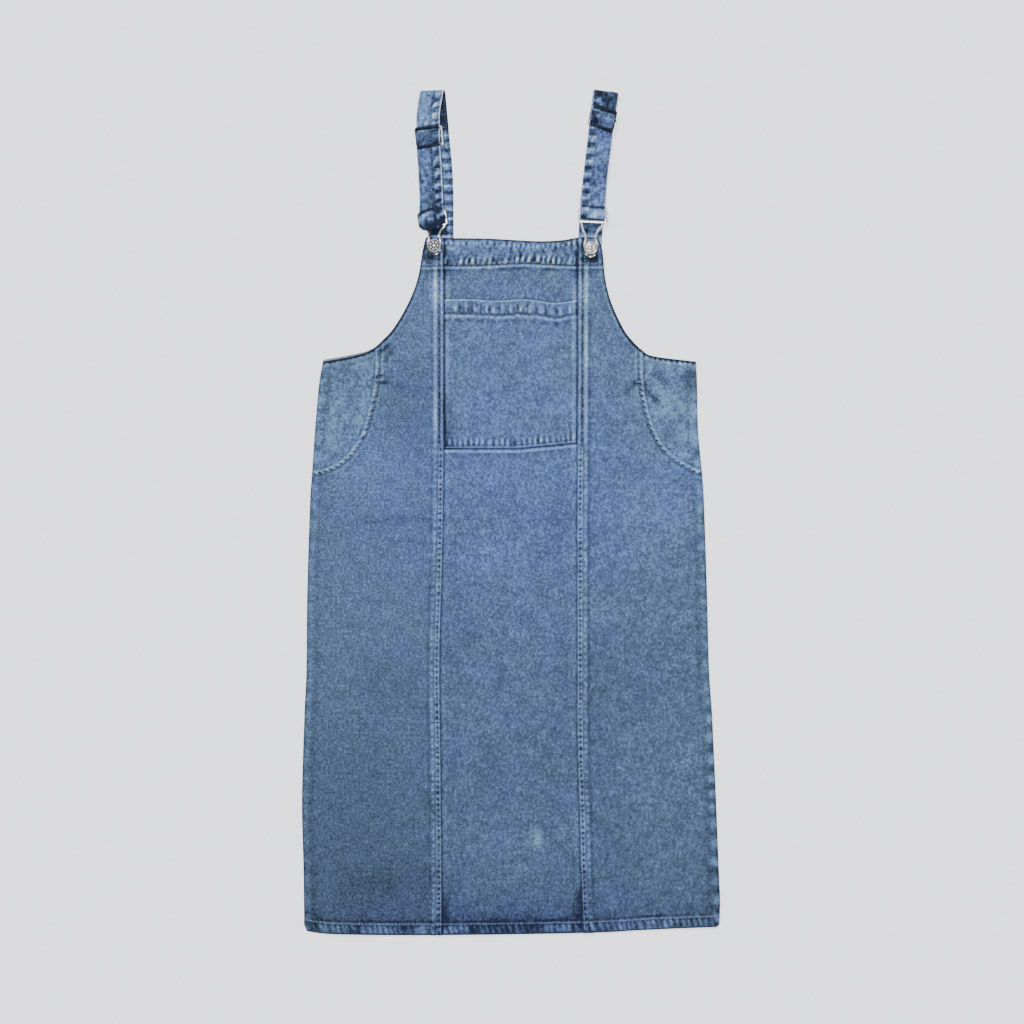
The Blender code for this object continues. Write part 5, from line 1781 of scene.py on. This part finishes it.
def build_slider(side):
    """A frame with a middle bar, darkened with painted shade where it lies on the strap, bright at
    its end nearer the neck.
    """
    bar, deep = SLIDER_BAR
    w, h = STRAP_WIDTH / 2 + SLIDER_SIDE_ROOM + bar / 2, SLIDER_PITCH
    x, turn = run_at(STRAP_FRONT[side], SLIDER_AT[side])
    slope = math.atan2(SLIDER_FOOT_Z - SLIDER_TOP_Z, 2 * SLIDER_PITCH)

    def place(u, v):
        across, along = turned(u, v * math.cos(slope), math.radians(turn))
        return Vector((x + across, SLIDER_AT[side] + along, SLIDER_MID_Z - v * math.sin(slope)))

    near = -SIGN[side] * w  # the side bar that shows
    far = SIGN[side] * (w - 2.5)  # its other one is tucked under the strap's edge
    corners = [place(0, -h), place(far, -h), place(far, h), place(near, h), place(near, -h),
               place(0, -h)]
    lines = refined(bent(corners, 2.0), 1.6), refined([place(-w + 1.8, 0), place(w, 0)], 3.0)
    vertices, faces = joined([tube(line, bar / 2, 16, deep / bar) for line in lines])
    # painted shade over the whole frame but the side bar nearer the neck, which stays bright
    outwards = place(-SIGN[side], 0) - place(0, 0)
    past = np.array([(Vector(v) - place(near, 0)).dot(outwards) for v in vertices])
    metal_piece(f"slider_frame_{side}", f"slider_{side}", vertices, faces,
                1 - rise(past, -3.2, -1.2))


def build_hook(side):
    """One wire: a square head for the strap, then two arms and a loop round the button."""
    half, high = STRAP_WIDTH / 2 + HOOK_ROOM + WIRE / 2, HOOK_HEAD_HALF_HEIGHT
    head_x, turn = HOOK_HEAD[side][0], math.radians(HOOK_HEAD[side][1])
    head_y = UPPER_BAR_AT[side] - high * math.cos(turn)
    low_z, tab_z = by_side(side, LEFT_LOWER_BAR_Z, UPPER_BAR_Z), TAB_TOP_Z + GAP + WIRE / 2
    knee_z = by_side(side, low_z, (low_z + tab_z) / 2)
    button_x, button_y = BUTTON_AT[side]

    def head(u, v):
        across, along = turned(u, v, turn)
        z = low_z + (UPPER_BAR_Z - low_z) * (v + high) / (2 * high)
        return Vector((head_x + across, head_y + along, z))

    def arm(way):
        return [(button_x + way * u, button_y + v, tab_z + (knee_z - tab_z) * fall)
                for u, v, fall in HOOK_ARM]

    square = [head(0, -high), head(-half, -high), head(-half, high), head(half, high),
              head(half, -high), head(0, -high)]
    square = np.array([tuple(p) for p in refined(bent(square, 2.2), 1.6)])
    route = [head(half - 3, -high), head(half - 3.5, -high - 2.5), *arm(1),
             (button_x, button_y + HOOK_FOOT, tab_z), *arm(-1)[::-1],
             head(3.5 - half, -high - 2.5), head(3 - half, -high)]
    thick = ramp(abs(square[:, 1] - head(0, -high).y), 1.5, 4.0) * 0.6
    thick = np.maximum(thick, ramp(square[:, 0] - square[:, 0].min(), 1.5, 3.0) * 0.42)
    vertices, faces = joined([
        tube(square, WIRE_SHOWN / 2 + thick * by_side(side, 0, 1)),
        tube(smooth_line([tuple(p) for p in route], 1.5), WIRE_SHOWN / 2)])
    x, y = (np.array(vertices)[:, :2] - BUTTON_AT[side]).T
    # painted shade on the arms and the loop's lower half, with painted glints left bright on it
    arms = rise(y, 8, 12) * (1 - rise(y, 19, 24))
    painted_glints = sum(bell(np.degrees(np.arctan2(y, x)), at, 8) for at in HOOK_GLINTS[side])
    tarnish = np.maximum(arms * by_side(side, 0.9 * (x < 0), 0.45),
                         0.95 * (1 - rise(y, 0, 6)) * (1 - painted_glints))
    if side == "left":  # its outer side lies in the strap's shade
        from_edge = x + button_x - head_x + half
        tarnish = np.maximum(tarnish, 0.95 * (1 - rise(from_edge, 3, 6)))
    metal_piece(f"hook_wire_{side}", f"hook_{side}", vertices, faces, tarnish)


def build_button(side):
    """A tack button: a shank, and a cap with a beaded rim, a dark ring and petals round a boss."""
    shank, cap, sides = BUTTON_SHANK / 2, BUTTON_DIAMETER / 2, 72
    foot = TAB_TOP_Z + GAP
    under = foot + WIRE + 0.6
    rings = [(cap - inset, under + up, depth, dark) for inset, up, depth, dark in CAP_PROFILE]
    rings = [(shank, foot, 0, 1), (shank, under, 0, 1), *rings][::-1]
    x, y = BUTTON_AT[side]
    vertices, tarnish = [], []
    for radius, z, depth, dark in rings:
        # the right cap is darkened less inside its rim than the left one: a painted highlight on it
        worn = by_side(side, 1.0, 1.0 if radius > cap - 1 else 0.35)
        for k in range(sides):
            a = 2 * math.pi * k / sides + 0.4
            petal = 0.5 - 0.5 * math.cos(BUTTON_PETALS[side] * a)
            vertices.append((x + radius * math.cos(a), y + radius * math.sin(a), z - depth * petal))
            tarnish.append(min(1.0, dark + 0.9 * petal * (depth > 0.2)) * worn)
    metal_piece(f"button_cap_{side}", f"button_{side}", vertices, skin(len(rings), sides), tarnish)


# ------------------------------------------------------------------ stage
def build_stage():
    stage, scene = settings("stage"), bpy.context.scene
    half, low = stage.floor_width / 2 / MM, -GAP
    corners = [(-half, -half, low), (half, -half, low), (half, half, low), (-half, half, low)]
    add_mesh("floor", corners, [(0, 1, 2, 3)], [floor_material()])
    camera = scene.camera = put("camera", bpy.data.cameras.new("camera"))
    camera.data.lens, camera.data.sensor_width = stage.lens, SENSOR
    camera.data.clip_end = 100
    pixel = stage.view_width / PICTURE
    camera.location = (pixel, 0.5 * pixel, stage.view_width * stage.lens / SENSOR)
    world = scene.world = bpy.data.worlds.new("soft room")
    world.use_nodes = True
    light = world.node_tree.nodes["Background"].inputs
    light["Color"].default_value = (0.95, 0.98, 1.0, 1)
    light["Strength"].default_value = stage.fill
    soft, key = bpy.data.lights.new("overhead", "AREA"), bpy.data.lights.new("key", "SUN")
    soft.shape, soft.size, soft.energy = "DISK", 1.3, stage.overhead
    put("overhead", soft).location = (0, 0, 3.6)
    key.energy, key.angle, key.color = stage.key, math.radians(16), (1.0, 0.99, 0.975)
    aim = Vector((0.38, -0.52, -0.78)).to_track_quat("-Z", "Y")
    put("key", key).rotation_euler = aim.to_euler()


# ------------------------------------------------------------------ operators
class BackPanel(bpy.types.Operator):
    """The back, in one piece from side seam to side seam"""

    bl_idname = "pinafore.back_panel"
    bl_label = "Back panel"

    def execute(self, context):
        build_back_panel()
        return {"FINISHED"}


class CentrePanel(bpy.types.Operator):
    """The front's middle, from the bib's band to the hem"""

    bl_idname = "pinafore.centre_panel"
    bl_label = "Centre panel"

    def execute(self, context):
        build_centre_panel()
        return {"FINISHED"}


class BibPocket(bpy.types.Operator):
    """The wide patch pocket on the bib"""

    bl_idname = "pinafore.bib_pocket"
    bl_label = "Bib pocket"

    def execute(self, context):
        build_bib_pocket()
        return {"FINISHED"}


class PocketFacings(bpy.types.Operator):
    """The patches that show behind the curved pocket openings"""

    bl_idname = "pinafore.pocket_facings"
    bl_label = "Pocket facings"

    def execute(self, context):
        for side in SIDES:
            build_pocket_facing(side)
        return {"FINISHED"}


class SidePanels(bpy.types.Operator):
    """The front's side panels, lapped over the middle and the facings"""

    bl_idname = "pinafore.side_panels"
    bl_label = "Side panels"

    def execute(self, context):
        for side in SIDES:
            build_side_panel(side)
        return {"FINISHED"}


class Straps(bpy.types.Operator):
    """The shoulder straps, through their sliders and round the hooks"""

    bl_idname = "pinafore.straps"
    bl_label = "Straps"

    def execute(self, context):
        for side in SIDES:
            build_strap(side)
        return {"FINISHED"}


class Metal(bpy.types.Operator):
    """Sliders, hooks and buttons"""

    bl_idname = "pinafore.metal"
    bl_label = "Metal"

    def execute(self, context):
        for side in SIDES:
            build_slider(side)
            build_hook(side)
            build_button(side)
        return {"FINISHED"}


class SeamStitching(bpy.types.Operator):
    """Twin rows on the long seams and the pocket openings"""

    bl_idname = "pinafore.seam_stitching"
    bl_label = "Seam stitching"

    def execute(self, context):
        sew_princess_seams()
        sew_pocket_openings()
        return {"FINISHED"}


class EdgeStitching(bpy.types.Operator):
    """Rows on the hem, band, armholes, bib pocket and straps, and the bartacks"""

    bl_idname = "pinafore.edge_stitching"
    bl_label = "Edge stitching"

    def execute(self, context):
        sew_edges()
        sew_bib_pocket()
        sew_straps()
        sew_bartacks()
        return {"FINISHED"}


class Stage(bpy.types.Operator):
    """Floor, light and camera"""

    bl_idname = "pinafore.stage"
    bl_label = "Stage"

    def execute(self, context):
        build_stage()
        return {"FINISHED"}


OPERATORS = (BackPanel, CentrePanel, BibPocket, PocketFacings, SidePanels, Metal, Straps,
             SeamStitching, EdgeStitching, Stage)
SETTINGS = {"cloth": ClothSettings, "stitch": StitchSettings, "finish": FinishSettings,
            "stage": StageSettings}


class PinaforePanel(bpy.types.Panel):
    """The dress's settings and the steps that build it"""

    bl_idname = "VIEW3D_PT_pinafore"
    bl_label = "Denim pinafore"
    bl_space_type = "VIEW_3D"
    bl_region_type = "UI"
    bl_category = "Pinafore"

    def draw(self, context):
        for name in SETTINGS:
            group = settings(name)
            for prop in group.bl_rna.properties:
                if prop.identifier not in ("rna_type", "name"):
                    self.layout.prop(group, prop.identifier)
        for operator in OPERATORS:
            self.layout.operator(operator.bl_idname)


def register():
    for each in (*SETTINGS.values(), *OPERATORS, PinaforePanel):
        bpy.utils.register_class(each)
    for name, group in SETTINGS.items():
        setattr(bpy.types.Scene, f"pinafore_{name}", PointerProperty(type=group))


def unregister():
    for name in SETTINGS:
        delattr(bpy.types.Scene, f"pinafore_{name}")
    for each in reversed((*SETTINGS.values(), *OPERATORS, PinaforePanel)):
        bpy.utils.unregister_class(each)


def main():
    register()
    for operator in OPERATORS:
        getattr(bpy.ops.pinafore, operator.bl_idname.split(".")[1])()


if __name__ == "__main__":
    main()
